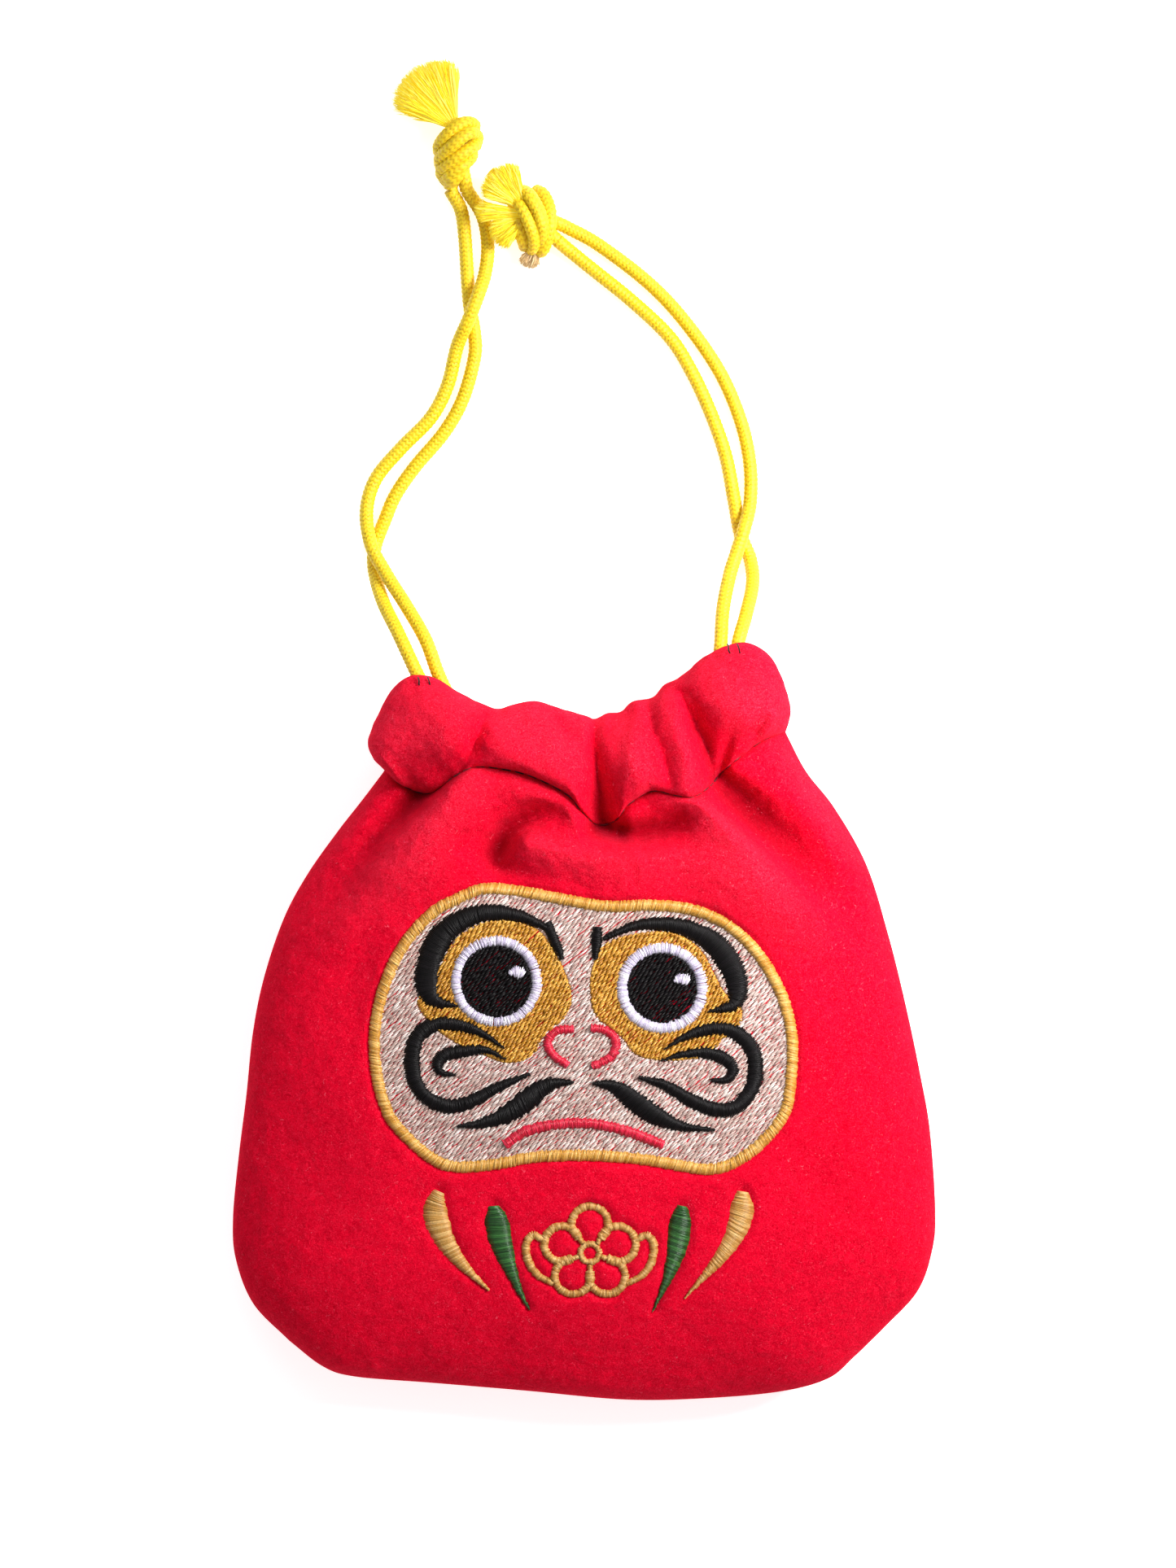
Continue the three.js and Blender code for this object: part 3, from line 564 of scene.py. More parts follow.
CASING_FOLDS = [
    # valleys between the four gathers, from left to right
    [(-17.6, 66.5, -0.8, 1.8), (-20.2, 62, -2.8, 2.2), (-22, 57.5, -4.2, 2.6), (-23.8, 53.5, -4.6, 2.8),
     (-27, 50, -4.2, 3)],
    [(1.8, 64.5, -1, 0.9), (1.9, 60, -2, 1.2), (2.2, 55, -3.4, 1.7), (2.8, 50, -5, 2.3),
     (3.4, 45, -6.2, 3.2), (4, 41.5, -6, 3.4)],
    [(13, 67, -0.8, 1.2), (13.8, 62, -1.6, 1.5), (15.3, 57, -2, 1.7), (16.9, 52.5, -2.2, 1.8),
     (17.4, 48, -1.6, 1.8)],
    [(15.5, 69.4, -0.6, 1.2), (19.5, 67.8, -2.4, 1.5), (21.8, 64, -4.6, 2), (23.2, 59.5, -5.8, 2.3),
     (24.8, 55, -6.4, 2.5), (26.2, 51, -6.4, 2.5), (27.4, 48.6, -4, 2.6)],
    # small pleats along the top
    [(-6, 65.4, -1.6, 1.2), (-4.4, 61.6, -2, 1.5), (-2, 58.4, -1, 1.7), (-1, 56, 0, 1.8)],
    [(5.8, 64, -1.6, 1), (5.4, 60.6, -1.3, 1.2), (5.2, 57, 0, 1.5)],
    [(9.6, 66.4, -1.4, 0.9), (9.4, 63, -1.2, 1.1), (9.6, 59, 0, 1.4)],
    [(-36, 71.5, -0.7, 1.1), (-34.5, 68.4, -0.5, 1.5), (-33.6, 65, 0, 1.7)],
    [(-30, 70.6, -0.9, 1.1), (-29, 67.8, -0.7, 1.4), (-27, 65.5, 0, 1.6)],
    [(35, 59.5, -1.4, 1.2), (36.4, 61.5, -0.9, 1.4), (38, 63.5, 0, 1.6)],
]
# broad swells and dips of the gathers
CASING_SWELLS = [
    [(-36, 51, -0.8, 4), (-31, 50.5, -1.2, 4), (-27, 52, -0.6, 3)],
    [(-40.5, 58, 1.6, 4.5), (-36, 60, 1.4, 5.5), (-30, 61, 1.2, 6)],
    [(-15, 59, 1, 6), (-7, 56, 1.2, 6.5)],
    [(25.5, 61, -0.8, 3), (28, 56, -1.8, 3.6), (33, 56.5, -1.2, 3.5)],
    [(26.5, 70.5, 1, 5), (30.5, 65, 1.8, 5), (36, 65, 1.6, 6)],
    [(7, 60, 0.9, 3), (9.4, 54, 1.4, 3.2), (11.5, 49, 1.2, 3)],
    [(18.8, 62, 1, 2.2), (20.8, 55, 1.8, 2.6), (21.6, 50, 1.2, 2.6)],
]


def columns_at(line, place):
    """The third and later columns of a line, at places from 0 to 1 along it."""
    at = place * (len(line) - 1)
    low = np.floor(at).astype(int)
    high = np.minimum(low + 1, len(line) - 1)
    part = (at - low)[:, None]
    return line[low, 2:] * (1 - part) + line[high, 2:] * part


def close_to(line, margin, x, y):
    """Which points are inside the line's box with a margin round it."""
    low, high = line[:, :2].min(axis=0) - margin, line[:, :2].max(axis=0) + margin
    return (x > low[0]) & (x < high[0]) & (y > low[1]) & (y < high[1])


def lip_height(x, y):
    """The front's lips, which fall gently on one side and steeply on the other."""
    total = np.zeros(len(x))
    for lip in FRONT_LIPS:
        line = spline(lip, 80)
        some = close_to(line, 3 * line[:, 3].max(), x, y)
        near, place, hand = distance_to(line, x[some], y[some])
        values = columns_at(line, place)
        width = np.where(hand > 0, values[:, 1], values[:, 2])
        total[some] += values[:, 0] * np.exp(-(near / width) ** 1.6)
    return total


def fold_height(folds, x, y, power=2.0):
    """Folds of a bell section. A lower power than 2 makes them pointed, as creases are."""
    total = np.zeros(len(x))
    for fold in folds:
        line = spline(fold, 60)
        some = close_to(line, 4 * line[:, 3].max(), x, y)
        near, place, _ = distance_to(line, x[some], y[some])
        values = columns_at(line, place)
        ratio = near / np.maximum(values[:, 1], 0.3)
        total[some] += values[:, 0] * np.exp(-ratio ** power)
    return total


class Field:
    """Smooth noise on a plane, from a blurred random grid."""

    def __init__(self, wavelength, seed, span=110.0):
        self.step = wavelength / 4
        self.span = span
        size = int(2 * span / self.step) + 1
        values = np.random.default_rng(seed).normal(size=(size, size))
        kernel = np.exp(-0.5 * (np.arange(-4, 5) / 1.4) ** 2)
        for axis in (0, 1):
            values = np.apply_along_axis(np.convolve, axis, values, kernel, "same")
        self.values = values / values.std()

    def at(self, x, y):
        last = len(self.values) - 2
        fx = np.clip((x + self.span) / self.step, 0, last)
        fy = np.clip((y + self.span) / self.step, 0, last)
        return read_grid(self.values, fx, fy)


lumps = Field(14, 3)
nap = Field(2.6, 5)
fine_nap = Field(1.3, 9)


def rough_pile(x, y):
    return 0.22 * lumps.at(x, y) + 0.07 * nap.at(x, y) + 0.07 * fine_nap.at(x, y)


FRONT_ROLL, BACK_ROLL = 31.0, 17.0     # how far in from the rim the cloth keeps rising
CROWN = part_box("front_shell")[1][2] / MM - SEAM_Z
CROWN_AT, CROWN_SIZE = (12, 2), (58, 60)
ROLL_SHARE = 0.66
SEAM_DEPTH = 1.7
SEAM_GROOVE = 0.7


def rolled(x, y, width):
    """0 at the rim, rising steeply and then levelling off at 1."""
    t = np.clip(inward(x, y) / width, 0, 1)
    return np.sqrt(np.maximum(1 - (1 - t) ** 2.2, 0))


def front_base(x, y):
    """The front panel's overall form: a rolled edge and a gentle crown."""
    roll = rolled(x, y, FRONT_ROLL)
    off_x, off_y = (x - CROWN_AT[0]) / CROWN_SIZE[0], (y - CROWN_AT[1]) / CROWN_SIZE[1]
    crown = np.exp(-1.2 * (off_x ** 2 + off_y ** 2))
    return SEAM_Z + CROWN * (ROLL_SHARE * roll + (1 - ROLL_SHARE) * crown * roll)


def front_folds(x, y):
    return fold_height(FRONT_FOLDS, x, y) + lip_height(x, y)


def front_swell(x, y):
    """The front panel with its folds, and without its small relief."""
    return front_base(x, y) + front_folds(x, y) * smoothstep(0, 8, inward(x, y))


def front_seam_height(x, y):
    """Height at which the front panel meets the casing, at the bottom of the groove."""
    return front_swell(x, y) - SEAM_DEPTH * smoothstep(0, 6, inward(x, y))


BACK_FOLDS = [
    [(-30, 50, -1.2, 3), (-38, 36, -1.6, 4), (-48, 18, -0.1, 5)],
    [(-14, 50, -1.6, 2.6), (-18, 34, -2, 4), (-24, 14, -0.1, 5)],
    [(4, 44, -1.8, 2.6), (3, 28, -2.2, 4), (1, 8, -0.1, 5)],
    [(19, 47, -1.6, 2.6), (24, 32, -2, 4), (32, 12, -0.1, 5)],
    [(33, 54, -1.2, 3), (42, 38, -1.6, 4), (52, 18, -0.1, 5)],
]
BACK_LOWEST, BACK_REST = 0.1, 0.12     # lowest point allowed, and where the flat part rests
BACK_SINK = 0.6                        # how far an unflattened back would hang below the floor
FLATTENING = 0.6


def back_folds(x, y):
    return fold_height(BACK_FOLDS, x, y)


def back_surface(x, y):
    """The back panel: rolled like the front, then flattened by the surface it lies on."""
    folds = back_folds(x, y) * smoothstep(0, 8, inward(x, y))
    hang = SEAM_Z - (SEAM_Z + BACK_SINK) * rolled(x, y, BACK_ROLL) - folds
    return BACK_REST + FLATTENING * np.log1p(np.exp(np.clip(hang / FLATTENING, -30, 30)))


def back_seam_height(x, y):
    return back_surface(x, y) + SEAM_DEPTH * smoothstep(0, 6, inward(x, y))


# ---------------------------------------------------------------- fleece panels

WALL = 1.7
WALL_CLEARANCE = 0.15                  # between the inner faces and the seam's plane
BAG_MIDDLE = np.array([0.0, -12.0])
PILE_SHIFT = (31, -17)                 # so that the back's pile differs from the front's


def patch(columns, rows, top_line):
    """Places inside the bag's outline as a grid that follows its four sides."""
    u = crowded(np.linspace(0, 1, columns), 0.14)
    v = crowded(np.linspace(0, 1, rows), 0.14)
    base, top = places_along(base_line, u), places_along(top_line, u)
    left, right = places_along(left_side, v), places_along(right_side, v)
    u, v = u[None, :, None], v[:, None, None]
    corners = ((1 - u) * (1 - v) * base[0] + u * (1 - v) * base[-1]
               + (1 - u) * v * top[0] + u * v * top[-1])
    grid = ((1 - v) * base[None] + v * top[None] + (1 - u) * left[:, None]
            + u * right[:, None] - corners)
    return grid.reshape(-1, 2)


def grid_normals(points, rows, columns):
    cube = points.reshape(rows, columns, 3)
    across = np.gradient(cube, axis=1)
    up = np.gradient(cube, axis=0)
    normal = np.cross(across, up)
    length = np.linalg.norm(normal, axis=2, keepdims=True)
    return (normal / np.maximum(length, 1e-9)).reshape(-1, 3)


def border(rows, columns):
    """The grid's outermost points, in order round it."""
    return ([j for j in range(columns)]
            + [i * columns + columns - 1 for i in range(1, rows)]
            + [(rows - 1) * columns + j for j in range(columns - 2, -1, -1)]
            + [i * columns for i in range(rows - 2, 0, -1)])


def closed_sheet(outer, rows, columns, wall, outward_up):
    """A wall of cloth: a fine outer grid, an inner grid half as fine, and a strip round the edge.

    wall moves outer points to the inner face. Rows and columns are odd.
    """
    inner_rows, inner_columns = (rows + 1) // 2, (columns + 1) // 2
    cube = outer.reshape(rows, columns, 3)
    inner = wall(cube[::2, ::2].reshape(-1, 3))
    count = rows * columns
    faces = grid_faces(rows, columns, flip=not outward_up)
    faces += grid_faces(inner_rows, inner_columns, start=count, flip=outward_up)
    outside, within = border(rows, columns), border(inner_rows, inner_columns)
    size = len(within)
    for k in range(size):
        a, b, c = outside[2 * k], outside[2 * k + 1], outside[(2 * k + 2) % (2 * size)]
        low, high = within[k] + count, within[(k + 1) % size] + count
        face = [a, low, high, c, b]
        faces.append(face if outward_up else face[::-1])
    return np.vstack([outer, inner]), faces


def wall_inside(up):
    """Moves points of the outer face to the inner face: sideways at the rim, down elsewhere."""
    def move(points):
        x, y, z = points.T
        steep = 1 - smoothstep(0, 10, inward(x, y))
        inward_step = BAG_MIDDLE - points[:, :2]
        inward_step /= np.linalg.norm(inward_step, axis=1, keepdims=True)
        moved = points[:, :2] + WALL * steep[:, None] * inward_step
        height = z - up * WALL * (1 - 0.7 * steep)
        limit = np.maximum if up > 0 else np.minimum
        return np.column_stack([moved, limit(height, SEAM_Z + up * WALL_CLEARANCE)])
    return move


def fleece_panel(name, node, front, rows, columns):
    """The front or the back of the bag: a wall of fleece with its folds and its pile."""
    x, y = patch(columns, rows, casing_seam).T
    seam_gap, _, _ = distance_to(casing_seam, x, y)
    # the last bit before the casing turns into the groove
    drop = np.exp(-seam_gap / SEAM_GROOVE)
    fuzz = smoothstep(0.3, 3, inward(x, y)) * smoothstep(0, 2, seam_gap)
    if front:
        height = front_surface(x, y) * (1 - drop) + front_seam_height(x, y) * drop
        fuzz *= rough_pile(x, y) * (1 - embroidered(x, y))
    else:
        height = back_surface(x, y) * (1 - drop) + back_seam_height(x, y) * drop
        pile = rough_pile(x + PILE_SHIFT[0], y + PILE_SHIFT[1])
        fuzz *= -pile * smoothstep(0.3, 2.5, height)
    outer = np.column_stack([x, y, height])
    outer += grid_normals(outer, rows, columns) * fuzz[:, None]
    outer[:, 2] = np.maximum(outer[:, 2], BACK_LOWEST)
    points, faces = closed_sheet(outer, rows, columns, wall_inside(1 if front else -1), front)
    folds = front_folds if front else back_folds
    # relief is 0 at the bottom of a deep fold, 0.6 on open cloth and 1 on a high crest; the fleece
    # colour turns it into painted shade in folds and painted highlight on crests
    depth = np.clip(0.6 + folds(points[:, 0], points[:, 1]) / 10, 0, 1)
    return make_piece(name, points, faces, "red_fleece", node, relief=depth)


# ---------------------------------------------------------------- casings

MOUTH_Z = 14.8


def cord_gap(x, y):
    """Room that each casing leaves at the mouth, wider where a drawcord comes out."""
    near = np.full(x.size, 99.0)
    for route in ROUTES.values():
        gap, _, _ = distance_to(np.array(route[:4], float), x.ravel(), y.ravel())
        near = np.minimum(near, gap)
    return (0.2 + 1.3 * (1 - smoothstep(1.3, 3.2, near))).reshape(x.shape)


SECTIONS, AROUND = 300, 104
FULL_WIDTH = 12.5                       # a casing at least this wide bulges fully
LIP_RISE = 2.2                          # of each lip above or below the mouth's middle
FRONT_BULGE, BACK_BULGE = (8.4, 4.4), (5.8, 5.0)     # outwards and inwards
SEAM_REACH = 30                         # sections over which the seam's height is evened out
BACK_STRENGTH = 0.45                    # the back casing's folds next to the front's
END_TAPER = 2.6                         # by which the mouth's edges close up at both ends


def casing(name, node, front):
    """A gathered channel of fleece: each section runs from the seam over the outside to the
    mouth's edge and back inside, with a hollow for the cord."""
    place = crowded(np.linspace(0.004, 0.996, SECTIONS), 0.10)
    low, high = places_along(casing_seam, place), places_along(casing_top, place)
    turn = np.linspace(0, 2 * math.pi, AROUND, endpoint=False)
    across = (0.5 - 0.5 * np.cos(turn))[None, :]
    x = low[:, :1] * (1 - across) + high[:, :1] * across
    y = low[:, 1:] * (1 - across) + high[:, 1:] * across
    width = np.linalg.norm(high - low, axis=1)[:, None]
    full = np.clip(width / FULL_WIDTH, 0, 1) ** 0.55
    side = np.sin(turn)[None, :]
    bulge = np.abs(side) ** 0.75
    up = 1 if front else -1
    seam_z = (front_seam_height if front else back_seam_height)(*low.T)
    window = np.ones(2 * SEAM_REACH + 1) / (2 * SEAM_REACH + 1)
    even_z = np.convolve(np.pad(seam_z, SEAM_REACH, mode="edge"), window, "valid")
    seam_z, even_z = seam_z[:, None], even_z[:, None]
    lip_z = SEAM_Z + (MOUTH_Z + up * LIP_RISE - SEAM_Z) * full
    # the hollows under the seam fade out within the lowest part of the casing
    height = even_z * (1 - across) + (seam_z - even_z) * (1 - across) ** 4 + lip_z * across
    outwards, inwards = FRONT_BULGE if front else BACK_BULGE
    height = height + up * np.where(side > 0, outwards, -inwards) * full * bulge
    flat_x, flat_y = x.ravel(), y.ravel()
    creases = fold_height(CASING_FOLDS, flat_x, flat_y, 1.35)
    relief = (creases + fold_height(CASING_SWELLS, flat_x, flat_y)).reshape(x.shape)
    outside = np.clip(side, 0, 1) ** 0.5
    strength = 1.0 if front else BACK_STRENGTH
    height = height + up * strength * relief * full * (outside - 0.25 * (1 - outside) * bulge)
    room = cord_gap(x, y)
    ends = END_TAPER * smoothstep(35, 43, np.abs(x))
    if front:
        height = np.maximum(height, MOUTH_Z + room - ends)
    else:
        height = np.clip(height, 0.15, MOUTH_Z - room - ends * 0.6)
    points = np.stack([x, y, height], axis=2)
    centre = points.mean(axis=1, keepdims=True)
    inner_wall = points[:, ::2] - centre
    radius = np.linalg.norm(inner_wall, axis=2, keepdims=True)
    inner_wall = centre + inner_wall * np.maximum(1 - WALL / np.maximum(radius, 0.01), 0.3)
    ring = np.roll(points, -1, axis=1) - np.roll(points, 1, axis=1)
    normal = np.cross(ring, np.gradient(points, axis=0))
    normal /= np.maximum(np.linalg.norm(normal, axis=2, keepdims=True), 1e-6)
    outward = np.sign((normal * (points - centre)).sum(axis=(1, 2)))[:, None, None]
    fuzz = rough_pile(flat_x + (0 if front else 40), flat_y + 3).reshape(x.shape)
    fade = np.clip(width / 6, 0, 1) * np.clip(side, 0, 1) ** 0.3
    points = points + normal * outward * (fuzz * fade)[..., None]
    points[..., 2] = np.maximum(points[..., 2], BACK_LOWEST)
    tube, faces = hollow_tube(points, inner_wall, not front)
    # painted shade and highlight: relief for the fleece colour, set higher than on the panels so the
    # casing gets more painted highlight, with painted shade in its creases
    depth = np.clip(0.82 + relief / 9, 0, 1)
    depth = np.concatenate([depth.ravel(), depth[:, ::2].ravel()])
    return make_piece(name, tube, faces, "red_fleece", node, relief=depth)


def hollow_tube(outer, inner, flip):
    """A tube with a wall: outer rings, inner rings of half as many points, and both ends joined."""
    sections, around, _ = outer.shape
    half = inner.shape[1]
    count = sections * around
    faces = grid_faces(sections, around, wrap=True, flip=flip)
    faces += grid_faces(sections, half, wrap=True, start=count, flip=not flip)
    for i, turned in ((0, flip), (sections - 1, not flip)):
        for k in range(half):
            a, b, c = (i * around + (2 * k + m) % around for m in (0, 1, 2))
            low, high = count + i * half + k, count + i * half + (k + 1) % half
            face = [a, low, high, c, b]
            faces.append(face[::-1] if turned else face)
    return np.vstack([outer.reshape(-1, 3), inner.reshape(-1, 3)]), faces


# ---------------------------------------------------------------- embroidery plan, in mm

FACE = [
    (-20.6, 28.9), (-26.6, 26.6), (-31.4, 23.9), (-37.3, 17.4), (-41.4, 9.1), (-43.6, -0.4),
    (-43.3, -9.9), (-40.9, -18.3), (-36.8, -23.6), (-31.4, -28.1), (-26.1, -29.9), (-17.8, -29.3),
    (-9.4, -27.8), (1.4, -27.5), (10.3, -28.1), (18.1, -29.3), (25.3, -30.3), (31.1, -28.8),
    (37.1, -24.3), (41.9, -17.8), (43.3, -8.8), (43.1, -0.4), (40.6, 7.9), (35.9, 15.6), (29.9, 21.3),
    (22.3, 24.6), (13.3, 25.6), (4.4, 25.4), (-4.6, 26.9), (-12.9, 28.4),
]
BORDER_WIDTH = 2.4
# centre and pupil radius of each eye; both rings reach out to EYE_RING
EYES = {"left": ((-17.8, 9.0), 7.2), "right": ((15.8, 7.7), 7.0)}
EYE_RING = 9.35
GLINTS = {"left": (-13.6, 10.8), "right": (19.8, 9.4)}
SOCKETS = {
    "left": [
        (-15.3, 21.5), (-9.3, 19.5), (-5.2, 13.9), (-2.5, 6.7), (-3.7, 2), (-8.2, -2.2), (-10.5, -6.1),
        (-15.6, -7.7), (-22.4, -5.2), (-28.4, -2.2), (-33.5, 3.2), (-33.5, 5.8), (-29.6, 11.5),
        (-26.6, 16.9), (-21.3, 20.7),
    ],
    "right": [
        (13.3, 19.2), (5.5, 17.4), (2, 13.3), (1.1, 7.3), (2.3, 2), (7.3, -2.2), (10.3, -5.8),
        (15.7, -7.1), (24, -6.4), (28.2, -2.8), (31.7, 0.8), (31.7, 4.1), (28.2, 7.3), (24, 15.1),
        (19.2, 18.6),
    ],
}
# Each stroke below is a line of (x, y, width).
BROWS = {
    "left": [
        (-7.3, 19.7, 1.2), (-12.9, 22.2, 2.1), (-20.1, 22.9, 3), (-26, 20.7, 3.6), (-29.6, 17.3, 4.2),
        (-31.4, 13, 4.2), (-32, 8.5, 4.2), (-30.5, 5.2, 2.7), (-25.7, 3.9, 0.4),
    ],
    "right": [
        (4, 17.7, 0.9), (10.3, 20.3, 1.7), (16.3, 20.6, 2.4), (21.6, 19.5, 3), (26.4, 16.6, 3.9),
        (29.6, 12.4, 4.2), (31.1, 7.9, 3.6), (30.2, 4.3, 2.4), (25.2, 2.9, 0.5),
    ],
}
BROW_HOOKS = {
    "left": [(-7.6, 20.8, 1.9), (-6.2, 17.6, 1.8), (-5.2, 15.6, 1.5), (-4.5, 13.6, 0.8)],
    "right": [(2.7, 19.9, 1.6), (2.5, 17.0, 1.9), (2.3, 13.6, 1.0)],
}
OUTER_SWIRLS = {
    "left": [
        (-16.2, -4.5, 0.3), (-20.7, -1.6, 1.5), (-25.4, 0.1, 2.3), (-30.2, 0.2, 2.5),
        (-33.8, -2.2, 2.7), (-34.9, -6.4, 2.7), (-34.6, -10.5, 2.7), (-32.3, -14.4, 2.5),
        (-27.8, -16.4, 2.5), (-23, -15.4, 2.3), (-17.7, -12.6, 1.8), (-11.1, -9.8, 0.6),
    ],
    "right": [
        (16.3, -4.7, 0.3), (20.4, -2.2, 1.5), (25.2, -0.7, 2.3), (29.9, -1, 2.5), (33.8, -4.3, 2.7),
        (34.8, -8.8, 2.7), (33.8, -13.2, 2.7), (30.2, -16.8, 2.5), (25.8, -16.8, 2.5), (21, -14.7, 2.3),
        (16.3, -12, 1.8), (11.2, -10.4, 0.6),
    ],
}
INNER_SWIRLS = {
    "left": [
        (-15.9, -6.7, 0.3), (-20.1, -4.9, 1.2), (-24.2, -5.2, 1.8), (-28.4, -6.1, 1.8),
        (-29.9, -8.2, 1.5), (-28.6, -9.7, 1), (-26.2, -10, 0.5),
    ],
    "right": [
        (15.7, -6.9, 0.3), (20.4, -5.7, 1.2), (25.2, -5.5, 1.8), (29.4, -7.3, 1.8), (30.2, -9.5, 1.5),
        (28.6, -11, 1), (25.8, -11, 0.5),
    ],
}
MOUSTACHES = {
    "left": [
        (-2.2, -11.4, 0.6), (-7, -12, 2.4), (-11.1, -14.7, 3.6), (-15.3, -17.7, 3.3),
        (-20.7, -19.8, 1.8), (-25.7, -20.5, 0.5),
    ],
    "right": [
        (1.9, -11.6, 0.6), (6.1, -12.3, 2.4), (10.3, -15.3, 3.6), (14.5, -18.3, 3.3),
        (19.8, -20.4, 1.8), (26.4, -21.1, 0.5),
    ],
}
NOSTRILS = {
    "left": [
        (-2.2, -0.7, 1.4), (-5.2, -0.9, 1.5), (-7.3, -2.8, 1.6), (-6.7, -5.5, 1.5), (-3.4, -8, 1.4),
    ],
    "right": [(1.5, -0.5, 1.4), (4.4, -0.9, 1.5), (6.4, -3.1, 1.6), (5.5, -6.1, 1.5), (1.7, -8.2, 1.4)],
}
MOUTH = [
    (-16, -24.1, 1.8), (-12.3, -21.6, 1.8), (-7, -20.2, 1.8), (-0.4, -19.7, 1.8), (5.5, -20.5, 1.8),
    (10.3, -21.9, 1.8), (16, -24.2, 1.7),
]
GOLD_LEAVES = {
    "left": [
        (-29.4, -33.9, 2.4), (-30.1, -36.6, 4.6), (-29.9, -39.5, 5.1), (-28.4, -43.4, 4.3),
        (-26, -47.1, 3), (-23.1, -50.3, 1.8), (-19.4, -53.8, 0.5),
    ],
    "right": [
        (32.2, -33.8, 2.5), (32.1, -36.8, 4.9), (31.5, -40, 4.7), (29.8, -43.9, 3.7),
        (27.1, -47.8, 2.6), (23.9, -51.5, 1.4), (20.5, -55.4, 0.4),
    ],
}
GREEN_LEAVES = {
    "left": [
        (-18.4, -36.8, 2.4), (-17.8, -39.3, 4.8), (-17.2, -42.9, 4.9), (-16, -46.8, 3.8),
        (-14.5, -50.8, 2.4), (-12.8, -54.7, 1.3), (-11.1, -57.8, 0.3),
    ],
    "right": [
        (19.9, -36.7, 2), (19.7, -39.3, 4.4), (19.1, -43.4, 4.6), (18.3, -47.3, 3.6), (17, -51.2, 2.2),
        (15.3, -55.2, 1), (13.9, -58.3, 0.3),
    ],
}
BLOSSOM_CENTRE = (1.2, -46.2)
BLOSSOM_LINE = 1.7
PETAL_OUT, PETAL_RADIUS = 5.9, 3.7
STAMENS = (2.6, 3.6, 4.6)
BLOSSOM_CURL = [
    (9, 2.4, 1.3), (11.6, 3.6, 1.6), (13, 1.4, BLOSSOM_LINE), (12.3, -2.2, BLOSSOM_LINE),
    (10.3, -4.8, 1.5), (7.6, -6.2, 1.2),
]


def blossom_strokes():
    """Plum blossom in outline: five petals, a centre ring, stamens and a curl on each side."""
    cx, cy = BLOSSOM_CENTRE
    strokes = []
    for i in range(5):
        turn = math.pi / 2 + i * 2 * math.pi / 5
        px, py = cx + PETAL_OUT * math.cos(turn), cy + PETAL_OUT * math.sin(turn)
        strokes.append([(px + PETAL_RADIUS * math.cos(turn + a), py + PETAL_RADIUS * math.sin(turn + a),
                         BLOSSOM_LINE) for a in np.linspace(-2.45, 2.45, 9)])
        gap = turn + math.pi / 5
        strokes.append([(cx + r * math.cos(gap), cy + r * math.sin(gap), 1.1) for r in STAMENS])
    strokes.append([(cx + 1.9 * math.cos(a), cy + 1.9 * math.sin(a), 1.3)
                    for a in np.linspace(0, 2 * math.pi, 10)])
    for side in (-1, 1):
        strokes.append([(cx + side * x, cy + y, width) for x, y, width in BLOSSOM_CURL])
    return strokes


def inset(outline, amount):
    """A closed line moved towards its inside (it runs anticlockwise or clockwise alike)."""
    ahead = np.roll(outline, -1, axis=0) - np.roll(outline, 1, axis=0)
    normal = np.column_stack([-ahead[:, 1], ahead[:, 0]])
    normal /= np.linalg.norm(normal, axis=1, keepdims=True)
    following = np.roll(outline, -1, axis=0)
    area = np.sum(outline[:, 0] * following[:, 1] - following[:, 0] * outline[:, 1])
    return outline + normal * amount * (1 if area > 0 else -1)


face_line = spline(FACE, 400, closed=True)
face_inner = inset(face_line, BORDER_WIDTH * 0.75)
sockets = {side: spline(SOCKETS[side], 160, closed=True) for side in SOCKETS}
lower_strokes = [*GOLD_LEAVES.values(), *GREEN_LEAVES.values(), *blossom_strokes()]


def embroidered(x, y):
    """1 on the embroidery, 0 on open fleece, with a short blend between them."""
    cover = np.zeros(len(x))
    some = close_to(face_line, 2, x, y)
    gap, _, _ = distance_to(np.vstack([face_line, face_line[:1]]), x[some], y[some])
    cover[some] = smoothstep(-0.8, 0.4, np.where(inside(face_line, x[some], y[some]), gap, -gap))
    near = (np.abs(x) < 40) & (y < -30) & (y > -62)
    for points in lower_strokes:
        line = spline(points, 40)
        gap, place, _ = distance_to(line, x[near], y[near])
        half = np.interp(place, np.linspace(0, 1, len(line)), line[:, 2]) / 2
        cover[near] = np.maximum(cover[near], smoothstep(0.7, -0.2, gap - half))
    return cover


PRESSED = 0.9     # how far the embroidery pulls the fleece down under it


def front_surface(x, y):
    """The front panel's outer face, pressed down under the embroidery."""
    return front_swell(x, y) - PRESSED * embroidered(x, y)


bed = Table((-50, -64), (50, 34), 0.5, lambda x, y: front_swell(x, y) - PRESSED)


# ---------------------------------------------------------------- stitches

THREAD_SIDES = 6
END_DIP = 0.25         # how far a thread's ends sink into the fleece


